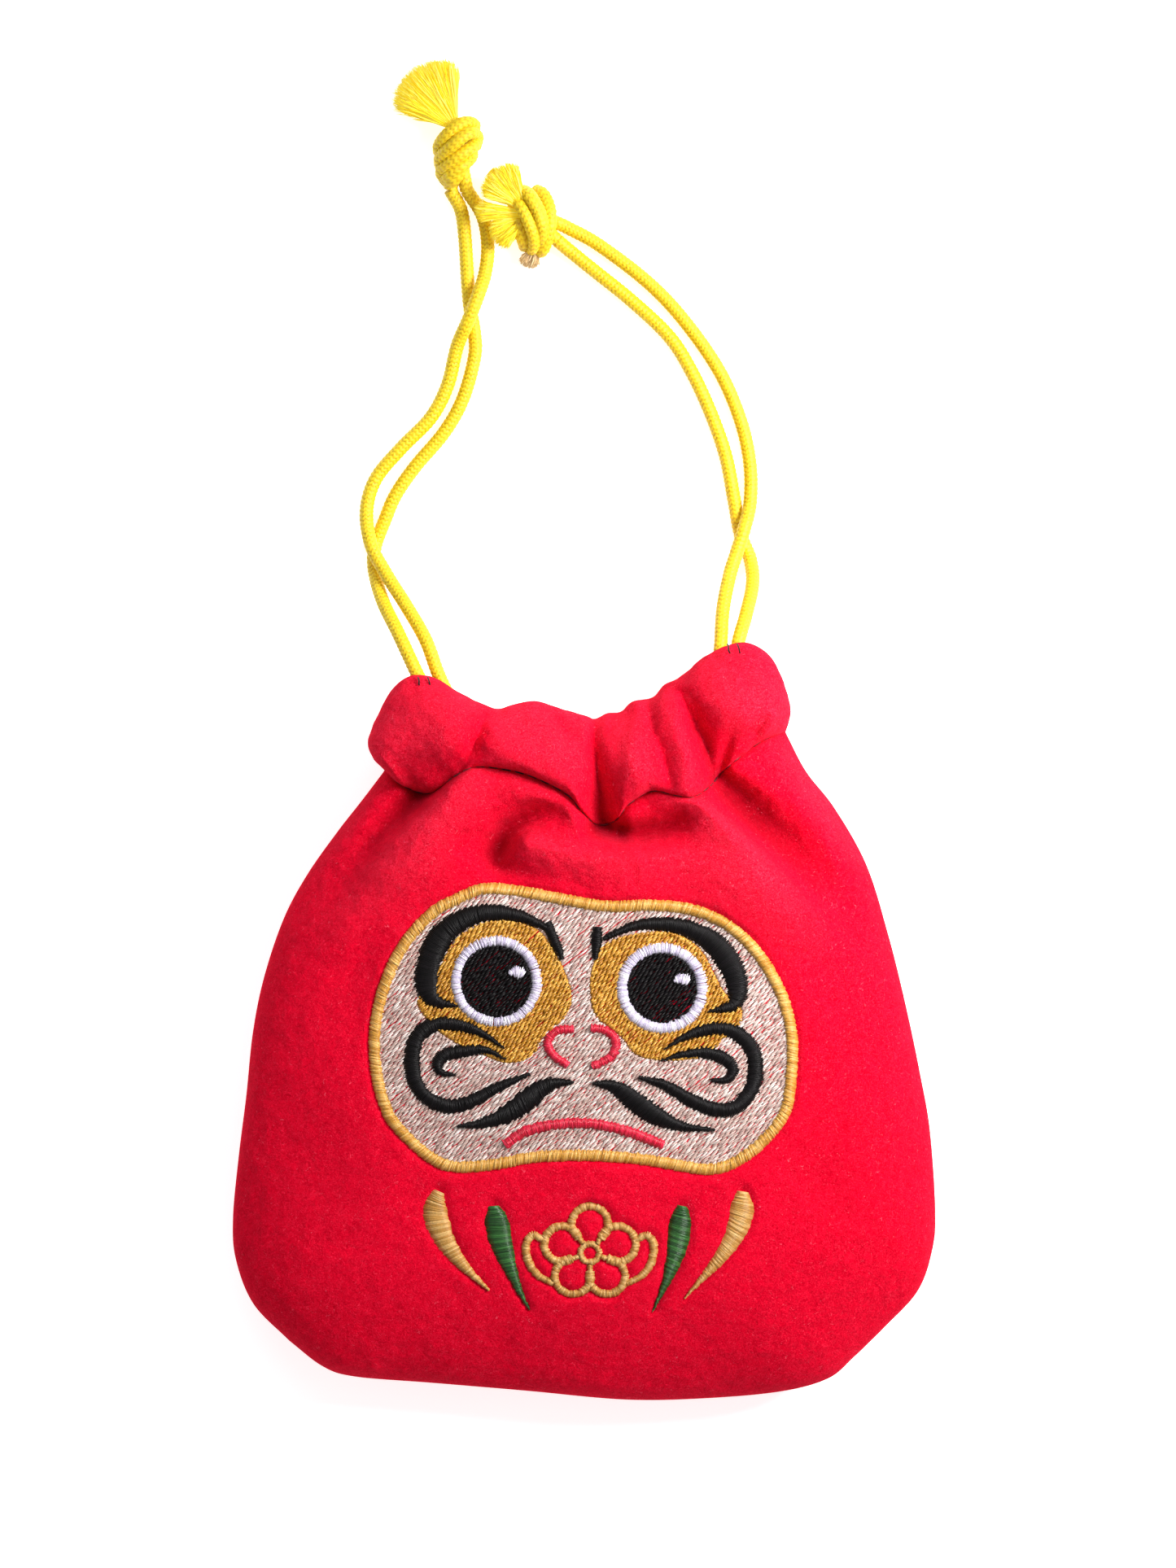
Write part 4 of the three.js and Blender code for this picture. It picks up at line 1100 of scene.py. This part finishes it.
def stitch_mesh(name, node, stitches, slot, base, arch, thickness, rings):
    """One closed thread for each (x0, y0, x1, y1) row, arched over the surface."""
    start, end = stitches[:, :2], stitches[:, 2:4]
    count = len(stitches)
    t = np.linspace(0, 1, rings)
    span = end - start
    forward = span / np.maximum(np.linalg.norm(span, axis=1, keepdims=True), 1e-6)
    across = np.column_stack([-forward[:, 1], forward[:, 0]])
    lift = base + random.normal(0, 0.03, count)
    peak = arch * (0.85 + 0.3 * random.random(count))
    middle = start[:, None] + span[:, None] * t[None, :, None]
    rise = np.clip(np.sin(math.pi * t), 0, 1) ** 0.55
    z = bed.at(middle[..., 0].ravel(), middle[..., 1].ravel()).reshape(count, rings)
    z = z + lift[:, None] + peak[:, None] * rise[None] - END_DIP * (1 - rise[None])
    angle = np.linspace(0, 2 * math.pi, THREAD_SIDES, endpoint=False)
    radius = 0.5 * thickness * (0.72 + 0.28 * rise)
    points = np.empty((count, rings, THREAD_SIDES, 3))
    wide = radius[None, :, None] * np.cos(angle)[None, None]
    points[..., :2] = middle[:, :, None] + wide[..., None] * across[:, None, None]
    points[..., 2] = z[..., None] + 0.8 * radius[None, :, None] * np.sin(angle)[None, None]
    *wall, first, last = tube_faces(rings, THREAD_SIDES)
    offsets = np.arange(count) * rings * THREAD_SIDES
    faces = (np.array(wall)[None] + offsets[:, None, None]).reshape(-1, 4).tolist()
    for cap in (first, last):
        faces += (np.array(cap)[None] + offsets[:, None]).tolist()
    make_piece(name, points.reshape(-1, 3), faces, slot, node)


def satin(points, pitch=0.28, ragged=0.13, slant=0.0, samples=240):
    """Stitches straight across a stroke of (x, y, width)."""
    line = even(spline(points, samples), spacing=pitch)
    heading = np.gradient(line[:, :2], axis=0)
    heading /= np.maximum(np.linalg.norm(heading, axis=1, keepdims=True), 1e-6)
    normal = np.column_stack([-heading[:, 1], heading[:, 0]])
    half = np.maximum(line[:, 2:3] / 2, 0.15)
    lean = slant * heading * half
    left = line[:, :2] + normal * (half + random.uniform(-ragged, ragged, half.shape)) + lean
    right = line[:, :2] - normal * (half + random.uniform(-ragged, ragged, half.shape)) - lean
    return np.hstack([left, right])


def wider(points, share):
    """The same stroke with its widths spread, since raised satin bulges past its outline."""
    return [(x, y, width * share) for x, y, width in points]


def ring_satin(centre, low, high, pitch, ragged):
    """Satin that points away from a centre."""
    count = int(2 * math.pi * (low + high) / 2 / pitch)
    turn = np.linspace(0, 2 * math.pi, count, endpoint=False) + random.normal(0, 0.006, count)
    reach_out = high + random.uniform(-ragged, ragged, count)
    reach_in = low + random.uniform(-ragged, ragged, count)
    direction = np.column_stack([np.cos(turn), np.sin(turn)])
    return np.hstack([centre + direction * reach_in[:, None], centre + direction * reach_out[:, None]])


STAGGER = (0.0, 0.37, 0.71)     # shares of a stitch by which three rows in turn are shifted


def fill(outline, holes, angle, pitch, stitch):
    """Rows of running stitches at an angle, each row starting at its own offset."""
    turn = math.radians(angle)
    along = np.array([math.cos(turn), math.sin(turn)])
    side = np.array([-along[1], along[0]])
    u, v = outline @ along, outline @ side
    rows = []
    for k, level in enumerate(np.arange(v.min(), v.max(), pitch)):
        level += random.normal(0, 0.04)
        t = np.arange(u.min() - 1, u.max() + 1, 0.15)
        x, y = (t[:, None] * along + level * side).T
        keep = inside(outline, x, y)
        for hole in holes:
            keep &= ~inside(hole, x, y)
        edges = np.flatnonzero(np.diff(keep.astype(int)))
        for a, b in zip(edges[::2], edges[1::2]):
            low, high = t[a + 1], t[b]
            offset = STAGGER[k % len(STAGGER)] * stitch + random.uniform(-0.25, 0.25)
            cuts = np.arange(math.floor((low - offset) / stitch) * stitch + offset, high, stitch)
            cuts = cuts + random.uniform(-0.18, 0.18, len(cuts))
            marks = np.concatenate([[low], cuts[(cuts > low + 0.5) & (cuts < high - 0.5)], [high]])
            for p, q in zip(marks[:-1], marks[1:]):
                wobble = random.normal(0, 0.05, 2)
                first = p * along + (level + wobble[0]) * side
                second = q * along + (level + wobble[1]) * side
                rows.append([*first, *second])
    return np.array(rows)


def circle(centre, radius):
    turn = np.linspace(0, 2 * math.pi, 60, endpoint=False)
    return np.column_stack([centre[0] + radius * np.cos(turn), centre[1] + radius * np.sin(turn)])


GLINT_SHAPE = [(-1.5, -0.2, 1.0), (-0.5, 0.1, 2.0), (0.6, 0, 2.6), (1.3, -0.4, 1.8)]


def embroider(name, stitches, slot, base, arch, thickness=0.37, rings=5):
    """Stitches that start base above the pressed fleece and arch by arch over it."""
    stitch_mesh(name + "_stitches", name, stitches, slot, base, arch, thickness, rings)


def embroider_eye(side):
    centre, pupil = EYES[side]
    socket = fill(sockets[side], [circle(centre, EYE_RING - 0.7)], 42, 0.29, 2.0)
    embroider(f"{side}_eye_socket", socket, "orange_thread", 0.26, 0.28, 0.38, rings=4)
    ring = ring_satin(centre, pupil - 0.1, EYE_RING, 0.30, 0.13)
    embroider(f"{side}_eye_ring", ring, "lavender_thread", 0.50, 0.55, 0.38)
    dark = fill(circle(centre, pupil + 0.3), [], 40, 0.28, 2.2)
    embroider(f"{side}_pupil", dark, "black_thread", 0.32, 0.32, 0.40, rings=4)
    gx, gy = GLINTS[side]
    glint = [(gx + x, gy + y, width) for x, y, width in GLINT_SHAPE]
    embroider(f"{side}_eye_glint", satin(glint, 0.32, 0.2), "lavender_thread", 0.66, 0.36, 0.36)


# Each row: piece, its lines, how much wider, slot, base and arch of its threads, and then
# pitch, raggedness and slant of the satin where they are not the usual ones.
STROKES = (
    ("brow", (BROWS, BROW_HOOKS), 1.25, "black_thread", 0.50, 0.52),
    ("outer_swirl", (OUTER_SWIRLS,), 1.25, "black_thread", 0.50, 0.50),
    ("inner_swirl", (INNER_SWIRLS,), 1.5, "black_thread", 0.52, 0.45),
    ("moustache", (MOUSTACHES,), 1.25, "black_thread", 0.46, 0.52, 0.27, 0.14, 0.25),
    ("nostril", (NOSTRILS,), 1.25, "crimson_thread", 0.46, 0.50),
    ("gold_leaf", (GOLD_LEAVES,), 1.0, "pale_gold_thread", 0.34, 0.62, 0.28, 0.12, 0.15),
    ("green_leaf", (GREEN_LEAVES,), 1.0, "green_thread", 0.34, 0.60, 0.28, 0.12, 0.15),
)


def embroider_face():
    holes = [inset(sockets[side], 0.3) for side in sockets]
    ground = fill(face_inner, holes, 38, 0.28, 2.4)
    embroider("face_ground", ground, "face_thread", 0.16, 0.20, 0.36, rings=4)
    centre = inset(face_line, BORDER_WIDTH / 2)
    loop = np.column_stack([centre, np.full(len(centre), BORDER_WIDTH)])
    border_stitches = satin(np.vstack([loop, loop[:1]]), 0.27, 0.14, 0.25, samples=1600)
    embroider("face_border", border_stitches, "gold_thread", 0.42, 0.75, 0.36, rings=7)
    for side in sockets:
        embroider_eye(side)
        for name, lines, share, slot, base, arch, *spacing in STROKES:
            stitches = np.vstack([satin(wider(line[side], share), *spacing) for line in lines])
            embroider(f"{side}_{name}", stitches, slot, base, arch)
    embroider("mouth", satin(wider(MOUTH, 1.25)), "crimson_thread", 0.46, 0.50)
    emblem = np.vstack([satin(stroke, 0.29) for stroke in blossom_strokes()])
    embroider("emblem", emblem, "pale_gold_thread", 0.36, 0.55, 0.38)


# ---------------------------------------------------------------- drawcords, in mm

CORD_D = 2.8
REST = CORD_D / 2 + 0.1
# The third point of each route is where the strand leaves its casing.
ROUTES = {
    "left_strand_a": [
        (-26.6, 56.5, MOUTH_Z), (-30.4, 64, MOUTH_Z), (-34.1, 71.4, MOUTH_Z), (-37.9, 79.5, 12.4),
        (-41.4, 86.6, 7.2), (-43.2, 92.8, 2.6), (-43.2, 97.8, REST), (-41.1, 103.6, REST),
        (-38.9, 108.7, REST), (-34.9, 114.5, REST), (-28.9, 121.6, REST), (-25, 128.6, REST),
        (-22.6, 137.3, REST), (-22.7, 142.5, REST), (-23.6, 147.8, REST), (-24.1, 153.7, REST),
        (-24.6, 161.6, REST), (-25.4, 167.4, 1.8), (-27.6, 171.5, 3.4),
    ],
    "left_strand_b": [
        (-22.1, 56.1, MOUTH_Z), (-25.9, 63.5, MOUTH_Z), (-29.6, 70.9, MOUTH_Z), (-32.5, 78.6, 13.2),
        (-36.6, 85.7, 9.4), (-40.6, 92, 6.3), (-43.9, 98.3, 4.9), (-44.9, 105.4, 2.4), (-43, 112, REST),
        (-37.9, 118.2, REST), (-31.7, 124.6, REST), (-28.2, 131.3, REST), (-26.2, 139.3, 2.2),
        (-23.9, 144.5, 4.4), (-21.9, 149.6, 4.6), (-20.4, 154.6, 2.4), (-19.9, 160.4, REST),
        (-21, 166.4, 1.8), (-24.2, 171.5, 3.4),
    ],
    "right_strand_a": [
        (25.6, 59.5, MOUTH_Z), (26.8, 68.2, MOUTH_Z), (27.9, 76.9, MOUTH_Z), (28.5, 84.8, 11),
        (29.9, 91.9, 7.2), (31.4, 96.6, 5.4), (33, 101.6, 4.6), (34.3, 107.4, 2.4), (34.2, 115.5, REST),
        (32.2, 124.4, REST), (27.9, 134.3, REST), (20.9, 144.4, REST), (13.4, 152.4, REST),
        (3.2, 160.2, 1.8), (-3.4, 163.8, 2.6), (-5.9, 164.9, 3.4),
    ],
    "right_strand_b": [
        (29.2, 60.2, MOUTH_Z), (30.4, 69, MOUTH_Z), (31.5, 77.6, MOUTH_Z), (33.2, 83.6, 11),
        (34.7, 90.2, 5.4), (34.3, 95.4, 2), (32.3, 100.6, REST), (30.9, 108.1, REST),
        (29.2, 116.9, REST), (26, 126, REST), (21.9, 134.7, REST), (17.4, 141.6, REST),
        (9.7, 148.9, REST), (1.6, 155.4, 1.7), (-3.4, 159.4, 2.4), (-5.6, 161.2, 3.2),
    ],
}
BRAID_COLUMNS = 16
BEAD_LENGTH = 0.95


def braid_tube(path, diameter, sides=48, step=0.2, phase=0.0, flat=1.0):
    """A braided cord along a path, in herringbone columns. Gives points, faces and relief.

    flat is the share of its thickness that a squeezed cord keeps.
    """
    line = even(np.asarray(path, float), spacing=step)
    count = len(line)
    tangent = np.gradient(line, axis=0)
    tangent /= np.maximum(np.linalg.norm(tangent, axis=1, keepdims=True), 1e-9)
    normal = np.empty_like(line)
    guide = np.array([0.0, 0.0, 1.0])
    first = guide - tangent[0] * (guide @ tangent[0])
    normal[0] = first / max(np.linalg.norm(first), 1e-6)
    for i in range(1, count):
        carried = normal[i - 1] - tangent[i] * (normal[i - 1] @ tangent[i])
        normal[i] = carried / np.linalg.norm(carried)
    binormal = np.cross(tangent, normal)
    angle = np.linspace(0, 2 * math.pi, sides, endpoint=False)
    column = (np.arange(sides) + 0.5) * BRAID_COLUMNS / sides
    within = column - np.floor(column) - 0.5
    lean = np.where(np.floor(column) % 2 == 0, 1, -1)
    along = np.arange(count)[:, None] * step / BEAD_LENGTH + phase + 0.55 * (within * lean)[None]
    bead = (np.abs(np.cos(math.pi * along)) ** 0.7) * np.cos(math.pi * 0.85 * within)[None] ** 0.8
    radius = diameter / 2 * (0.90 + 0.15 * bead)
    points = (line[:, None] + (flat * radius * np.cos(angle))[..., None] * normal[:, None]
              + (radius / flat * np.sin(angle))[..., None] * binormal[:, None])
    return points.reshape(-1, 3), tube_faces(count, sides), bead.ravel()


def cord_piece(name, braid, side, node=None):
    points, faces, relief = braid
    return make_piece(name, points, faces, "yellow_cord", node, f"{side}_cord", relief)


def joined(parts):
    """Several tubes as one mesh."""
    points, faces, relief = [], [], []
    start = 0
    for part_points, part_faces, part_relief in parts:
        points.append(part_points)
        faces += [[start + i for i in face] for face in part_faces]
        relief.append(part_relief)
        start += len(part_points)
    return np.vstack(points), faces, np.concatenate(relief)


# Bands of cord that show in each overhand knot, as (x, y, z) along their middles.
KNOT_BANDS = {
    "left": [
        [(-23.6, 183.2, 2.2), (-23, 185, 4.4), (-25, 185, 7), (-28, 182.8, 7.2), (-29.9, 180.4, 4.8),
         (-29.2, 178.4, 2.2)],
        [(-22.9, 180.6, 2), (-22.4, 182.6, 4.4), (-24, 182.8, 7.6), (-27, 180.4, 8), (-29.6, 178, 5.2),
         (-29.2, 176, 2.2)],
        [(-23.4, 182.2, 2.2), (-22.8, 180.9, 5), (-24.4, 179.3, 7.2), (-27.2, 177.3, 7),
         (-29.3, 175.6, 4.4), (-28.6, 174.2, 2)],
        [(-23.6, 179.6, 2.6), (-23.6, 178.2, 4.8), (-25.2, 176.4, 6.4), (-27.6, 174.8, 5.8),
         (-28.8, 173.8, 3.4)],
        [(-24.6, 178, 4), (-25.6, 175.6, 5.8), (-27.2, 173.6, 5.4), (-28.2, 173.4, 3.2),
         (-27.6, 175.4, 2.2)],
        [(-27.6, 171.5, 3.4), (-27, 174, 3.8), (-26.4, 178, 4.4), (-26.4, 183, 4.4)],
        [(-24.2, 171.5, 3.4), (-24.7, 174, 4.4), (-25.4, 178, 4.6), (-26, 183, 4.2)],
    ],
    "right": [
        [(-12.6, 170, 2.2), (-12.4, 171.2, 4.6), (-10.9, 169.6, 7.6), (-9.2, 166.4, 8),
         (-8.4, 163.2, 7), (-8.6, 160.8, 4.6), (-9.8, 160.6, 2.2)],
        [(-14.2, 167.6, 2.2), (-14, 169.2, 4.8), (-12.8, 167.8, 7.4), (-11.2, 164.6, 7.8),
         (-10.2, 161.6, 6.6), (-10.4, 159.6, 4.2), (-11.4, 160.4, 2.2)],
        [(-13.6, 165, 2.2), (-13.9, 165.8, 4.6), (-13.2, 163.6, 5.8), (-12.2, 161, 5),
         (-11.8, 159.8, 3.2)],
        [(-10.2, 171.2, 2.6), (-8.6, 170.2, 4.4), (-7.4, 167.4, 5.8), (-7.3, 164.2, 6),
         (-7.9, 161.4, 5.4), (-8.9, 159.2, 4), (-9.8, 159.8, 2.2)],
        [(-5.9, 164.9, 3.4), (-8.2, 166, 4.2), (-12, 167.4, 4.4), (-13.6, 168, 4.6)],
        [(-5.6, 161.2, 3.2), (-7.6, 163, 4), (-10.2, 165.4, 4.4), (-12.8, 167, 4.8)],
    ],
}


LEAD_STRANDS = 2                       # the last bands of each knot are the strands that enter it
PRESSED_CORD, PRESSED_SHARE = 2.95, 0.88


def knot(side):
    """A pulled-tight overhand knot of the doubled cord, squeezed a little where bands press."""
    bands = KNOT_BANDS[side]
    parts = []
    for k, band in enumerate(bands):
        lead = k >= len(bands) - LEAD_STRANDS
        parts.append(braid_tube(spline(band, 160), CORD_D if lead else PRESSED_CORD,
                                phase=0.3 * k, flat=1.0 if lead else PRESSED_SHARE))
    points, faces, relief = joined(parts)
    points[:, 2] = np.maximum(points[:, 2], BACK_LOWEST)
    return cord_piece(f"{side}_overhand_knot", (points, faces, relief), side, f"{side}_knot")


FIBRE_SIDES, FIBRE_RINGS = 4, 9


def fibre(draw, fan, wisp, floor):
    """Points of one filament or flat wisp of a fan."""
    root, heading, spread, length, thick, _, _, rise = fan
    t = np.linspace(0, 1, FIBRE_RINGS)
    lean = draw.uniform(-1, 1)
    turn = math.radians(heading + spread * lean)
    out = np.array([math.cos(turn), math.sin(turn)])
    side = np.array([-out[1], out[0]])
    reach = length * (1 - 0.10 * abs(lean) ** 2) * draw.uniform(0.80, 1.0)
    if draw.random() < 0.3:
        reach *= draw.uniform(0.75, 0.95)
    bend = draw.normal(0, 0.05) * reach
    crimp = draw.uniform(0.1, 0.35) * np.sin(t * draw.uniform(4, 9) + draw.uniform(0, 6.3)) * t
    base = np.array(root) + np.append(side * lean * 0.8, draw.uniform(-0.8, 0.8))
    flat = base[:2] + t[:, None] * reach * out + (bend * t ** 2 + crimp)[:, None] * side
    swell = draw.uniform(-1, 1) * thick * np.sin(t * math.pi * 0.6)
    line = np.column_stack([flat, np.maximum(base[2] + swell + rise * t, floor + 0.15)])
    if wisp:
        wide = draw.uniform(0.08, 0.20) * (0.5 + 0.9 * t) * np.sqrt(np.clip(1.04 - t ** 4, 0, 1))
        tall = 0.05 + 0.03 * (1 - t)
    else:
        wide = tall = draw.uniform(0.04, 0.065) * (1 - 0.3 * t)
    angle = np.linspace(0, 2 * math.pi, FIBRE_SIDES, endpoint=False)
    ring = (line[:, None]
            + (wide[:, None] * np.cos(angle))[..., None] * np.append(side, 0)
            + (tall[:, None] * np.sin(angle))[..., None] * np.array([0, 0, 1.0]))
    return ring.reshape(-1, 3)


def frayed(name, side, node, fans, seed, material, floor):
    """Loose filaments and flat wisps that fan out of a cord end.

    Each fan is (root, heading and spread in degrees, length, thickness, wisps, filaments, rise).
    """
    draw = np.random.default_rng(seed)
    parts, faces = [], []
    for fan in fans:
        wisps, filaments = fan[5:7]
        for k in range(wisps + filaments):
            start = len(parts) * FIBRE_RINGS * FIBRE_SIDES
            faces += tube_faces(FIBRE_RINGS, FIBRE_SIDES, start)
            parts.append(fibre(draw, fan, k < wisps, floor))
    return make_piece(name, np.vstack(parts), faces, "yellow_cord", node, f"{side}_cord",
                      material=material)


LEFT_FANS = [((-26.7, 184.6, 4.6), 127, 32, 14.8, 2.2, 1500, 1000, 0.2)]
RIGHT_FANS = [
    ((-13.0, 168.2, 6.4), 131, 28, 9.6, 1.5, 700, 400, 0.6),
    ((-13.2, 166.4, 6.0), 176, 7, 9.6, 0.6, 170, 130, 0.4),
    ((-13.0, 165.0, 5.6), 213, 22, 7.2, 1.0, 380, 220, 0.0),
]
SINGED_FANS = [((-10.4, 159.4, 3.0), 250, 20, 4.2, 0.9, 220, 120, -0.6)]


BRAID_STUB = [(-16.6, 172.4, 6.9), (-17.8, 173.8, 6.9), (-19.2, 175.2, 6.7)]


def cords():
    routes = {name: spline(ROUTES[name], 400) for name in ROUTES}
    strands = {name: cord_piece(name + "_cord", braid_tube(route, CORD_D), name.split("_")[0], name)
               for name, route in routes.items()}
    ends = {"left": [
        knot("left"),
        frayed("left_frayed_end", "left", "left_tassel", LEFT_FANS, 21, FILAMENT, 0.1),
    ]}
    stub = cord_piece("braid_end", braid_tube(spline(BRAID_STUB, 30), 1.9, sides=32), "right")
    ends["right"] = [
        knot("right"),
        frayed("right_frayed_end", "right", "right_tassel", RIGHT_FANS, 22, FILAMENT, 3.0),
        frayed("right_singed_end", "right", None, SINGED_FANS, 23, SINGED, 0.1), stub,
    ]


# ---------------------------------------------------------------- hidden and small pieces

HEM = 3.0                               # how far the lining stops short of the casing
LINING_SHARE, LINING_CENTRE_Y = 0.955, -15
LINING_DEPTH = 9.5                      # below the front's open surface
LINING_THICKNESS = 0.5


def lining(name, node, front):
    rows, columns = 101, 111
    hem = casing_seam.copy()
    hem[:, 1] -= HEM
    x, y = patch(columns, rows, hem).T
    x, y = x * LINING_SHARE, (y - LINING_CENTRE_Y) * LINING_SHARE + LINING_CENTRE_Y
    height = front_base(x, y) - LINING_DEPTH if front else back_surface(x, y) + WALL + 0.6
    height = np.maximum(height, SEAM_Z + 0.7) if front else np.minimum(height, SEAM_Z - 0.7)
    thin = np.array([0, 0, -LINING_THICKNESS if front else LINING_THICKNESS])
    points, faces = closed_sheet(np.column_stack([x, y, height]), rows, columns,
                                 lambda face: face + thin, front)
    return make_piece(name, points, faces, "red_lining", node)


BACKING_MIDDLE, BACKING_REACH = (0, -14), (46, 44)
BACKING_THICKNESS = 0.6
BACKING_GAP = 0.35                      # between the front's inner face and the stabiliser


def backing():
    """The oval of stabiliser under the embroidery."""
    rows, columns = 50, 60
    turn = np.linspace(0, 2 * math.pi, columns, endpoint=False)
    reach_out = np.linspace(0.02, 1, rows)
    x = (BACKING_MIDDLE[0] + BACKING_REACH[0] * reach_out[:, None] * np.cos(turn)).ravel()
    y = (BACKING_MIDDLE[1] + BACKING_REACH[1] * reach_out[:, None] * np.sin(turn)).ravel()
    outer = np.column_stack([x, y, front_swell(x, y) - PRESSED - WALL - BACKING_GAP])
    inner = outer - np.array([0, 0, BACKING_THICKNESS])
    count = rows * columns
    faces = grid_faces(rows, columns, wrap=True)
    faces += grid_faces(rows, columns, wrap=True, start=count, flip=True)
    for j in range(columns):
        j2 = (j + 1) % columns
        a, b = (rows - 1) * columns + j, (rows - 1) * columns + j2
        faces.append([a, b, b + count, a + count])
        faces.append([j + count, j2 + count, j2, j])
    return make_piece("stabiliser_sheet", np.vstack([outer, inner]), faces, "white_stabiliser",
                      "embroidery_backing")


def thread_tube(line, diameter, step):
    return braid_tube(even(line, spacing=step), diameter, sides=6, step=step)


STITCH_SINK = 0.15                      # how far a seam stitch's ends lie below its line


def sewn_line(name, node, line, dash, thickness, gap=0.75, fine=0.25):
    """A run of separate stitches along a line of (x, y, z)."""
    path = even(line, spacing=fine)
    size, skip = int(dash / fine), int(gap / fine)
    parts = []
    for i in range(0, len(path) - size, size + skip):
        stitch = path[i:i + size].copy()
        stitch[:, 2] += 0.25 * np.sin(np.linspace(0, math.pi, size)) - STITCH_SINK
        parts.append(thread_tube(stitch, thickness, 0.3))
    points, faces, _ = joined(parts)
    make_piece(name, points, faces, "red_thread", node)


SEAM_INSET = 1.6                        # of the side seam's stitches from the rim


def seams():
    x, y = casing_seam[12:-12, :2].T
    sewn_line("front_channel_stitches", "front_casing_stitch",
              np.column_stack([x, y, front_seam_height(x, y) + 0.35]), 2.0, 0.42)
    sewn_line("back_channel_stitches", "back_casing_stitch",
              np.column_stack([x, y, back_seam_height(x, y) - 0.3]), 2.0, 0.42)
    edge = np.vstack([left_side[::-1][20:], base_line[1:], right_side[1:-20]])
    reach = np.linalg.norm(edge - BAG_MIDDLE, axis=1, keepdims=True)
    pulled = BAG_MIDDLE + (edge - BAG_MIDDLE) * (1 - SEAM_INSET / reach)
    sewn_line("side_seam_stitches", "side_seam_thread",
              np.column_stack([pulled, np.full(len(pulled), SEAM_Z)]), 2.2, 0.45)


BAR_TACKS = {"right": (30.4, 76.6, 24.0), "left": (-32.6, 69.8, 22.5)}


def bar_tacks():
    for side, (x, y, z) in BAR_TACKS.items():
        parts = []
        for k, shift in enumerate((-1.0, 1.0)):
            line = [(x + shift - 0.25, y + 0.9, z - 0.8), (x + shift, y + 0.3, z + 0.3),
                    (x + shift + 0.2 * k, y - 0.5, z + 0.9), (x + shift + 0.3, y - 1.0, z + 0.6)]
            parts.append(thread_tube(spline(line, 12), 0.34, 0.25))
        points, faces, _ = joined(parts)
        make_piece(f"{side}_tack_stitches", points, faces, "black_thread", f"{side}_bar_tack")


FRONT_RUN_Z, BACK_RUN_Z, TURN_Z = 18.8, 8.6, 12.6


def cord_runs():
    """The drawcord inside the channels: along the front, round the far end and back."""
    middle = 0.5 * (casing_seam[::20] + casing_top[::25])
    middle = middle[np.abs(middle[:, 0]) < 33]
    for side, sign in (("left", 1), ("right", -1)):
        flat = middle[::sign] + (0, 2.0 * sign)
        front = np.column_stack([flat, np.full(len(flat), FRONT_RUN_Z)])
        back = np.column_stack([flat, np.full(len(flat), BACK_RUN_Z)])[::-1]
        x, y = flat[-1]
        loop = [(x + sign * 4.5, y + 0.5, FRONT_RUN_Z - 2.5), (x + sign * 5.8, y + 0.6, TURN_Z),
                (x + sign * 4.5, y + 0.5, BACK_RUN_Z)]
        route = spline(np.vstack([front, loop, back]), 500)
        points, faces, relief = braid_tube(route, CORD_D, sides=20, step=0.4)
        make_piece(f"{side}_hidden_cord", points, faces, "yellow_cord", f"{side}_cord_run",
                   relief=relief)


# ---------------------------------------------------------------- assembly

cords()
front = fleece_panel("front_panel", "front_shell", True, 261, 267)
back = fleece_panel("back_panel", "back_shell", False, 221, 231)
front_channel = casing("front_channel", "front_casing", True)
back_channel = casing("back_channel", "back_casing", False)
front_liner = lining("front_liner", "front_lining", True)
back_liner = lining("back_liner", "back_lining", False)
stabiliser = backing()
embroider_face()
seams()
bar_tacks()
cord_runs()
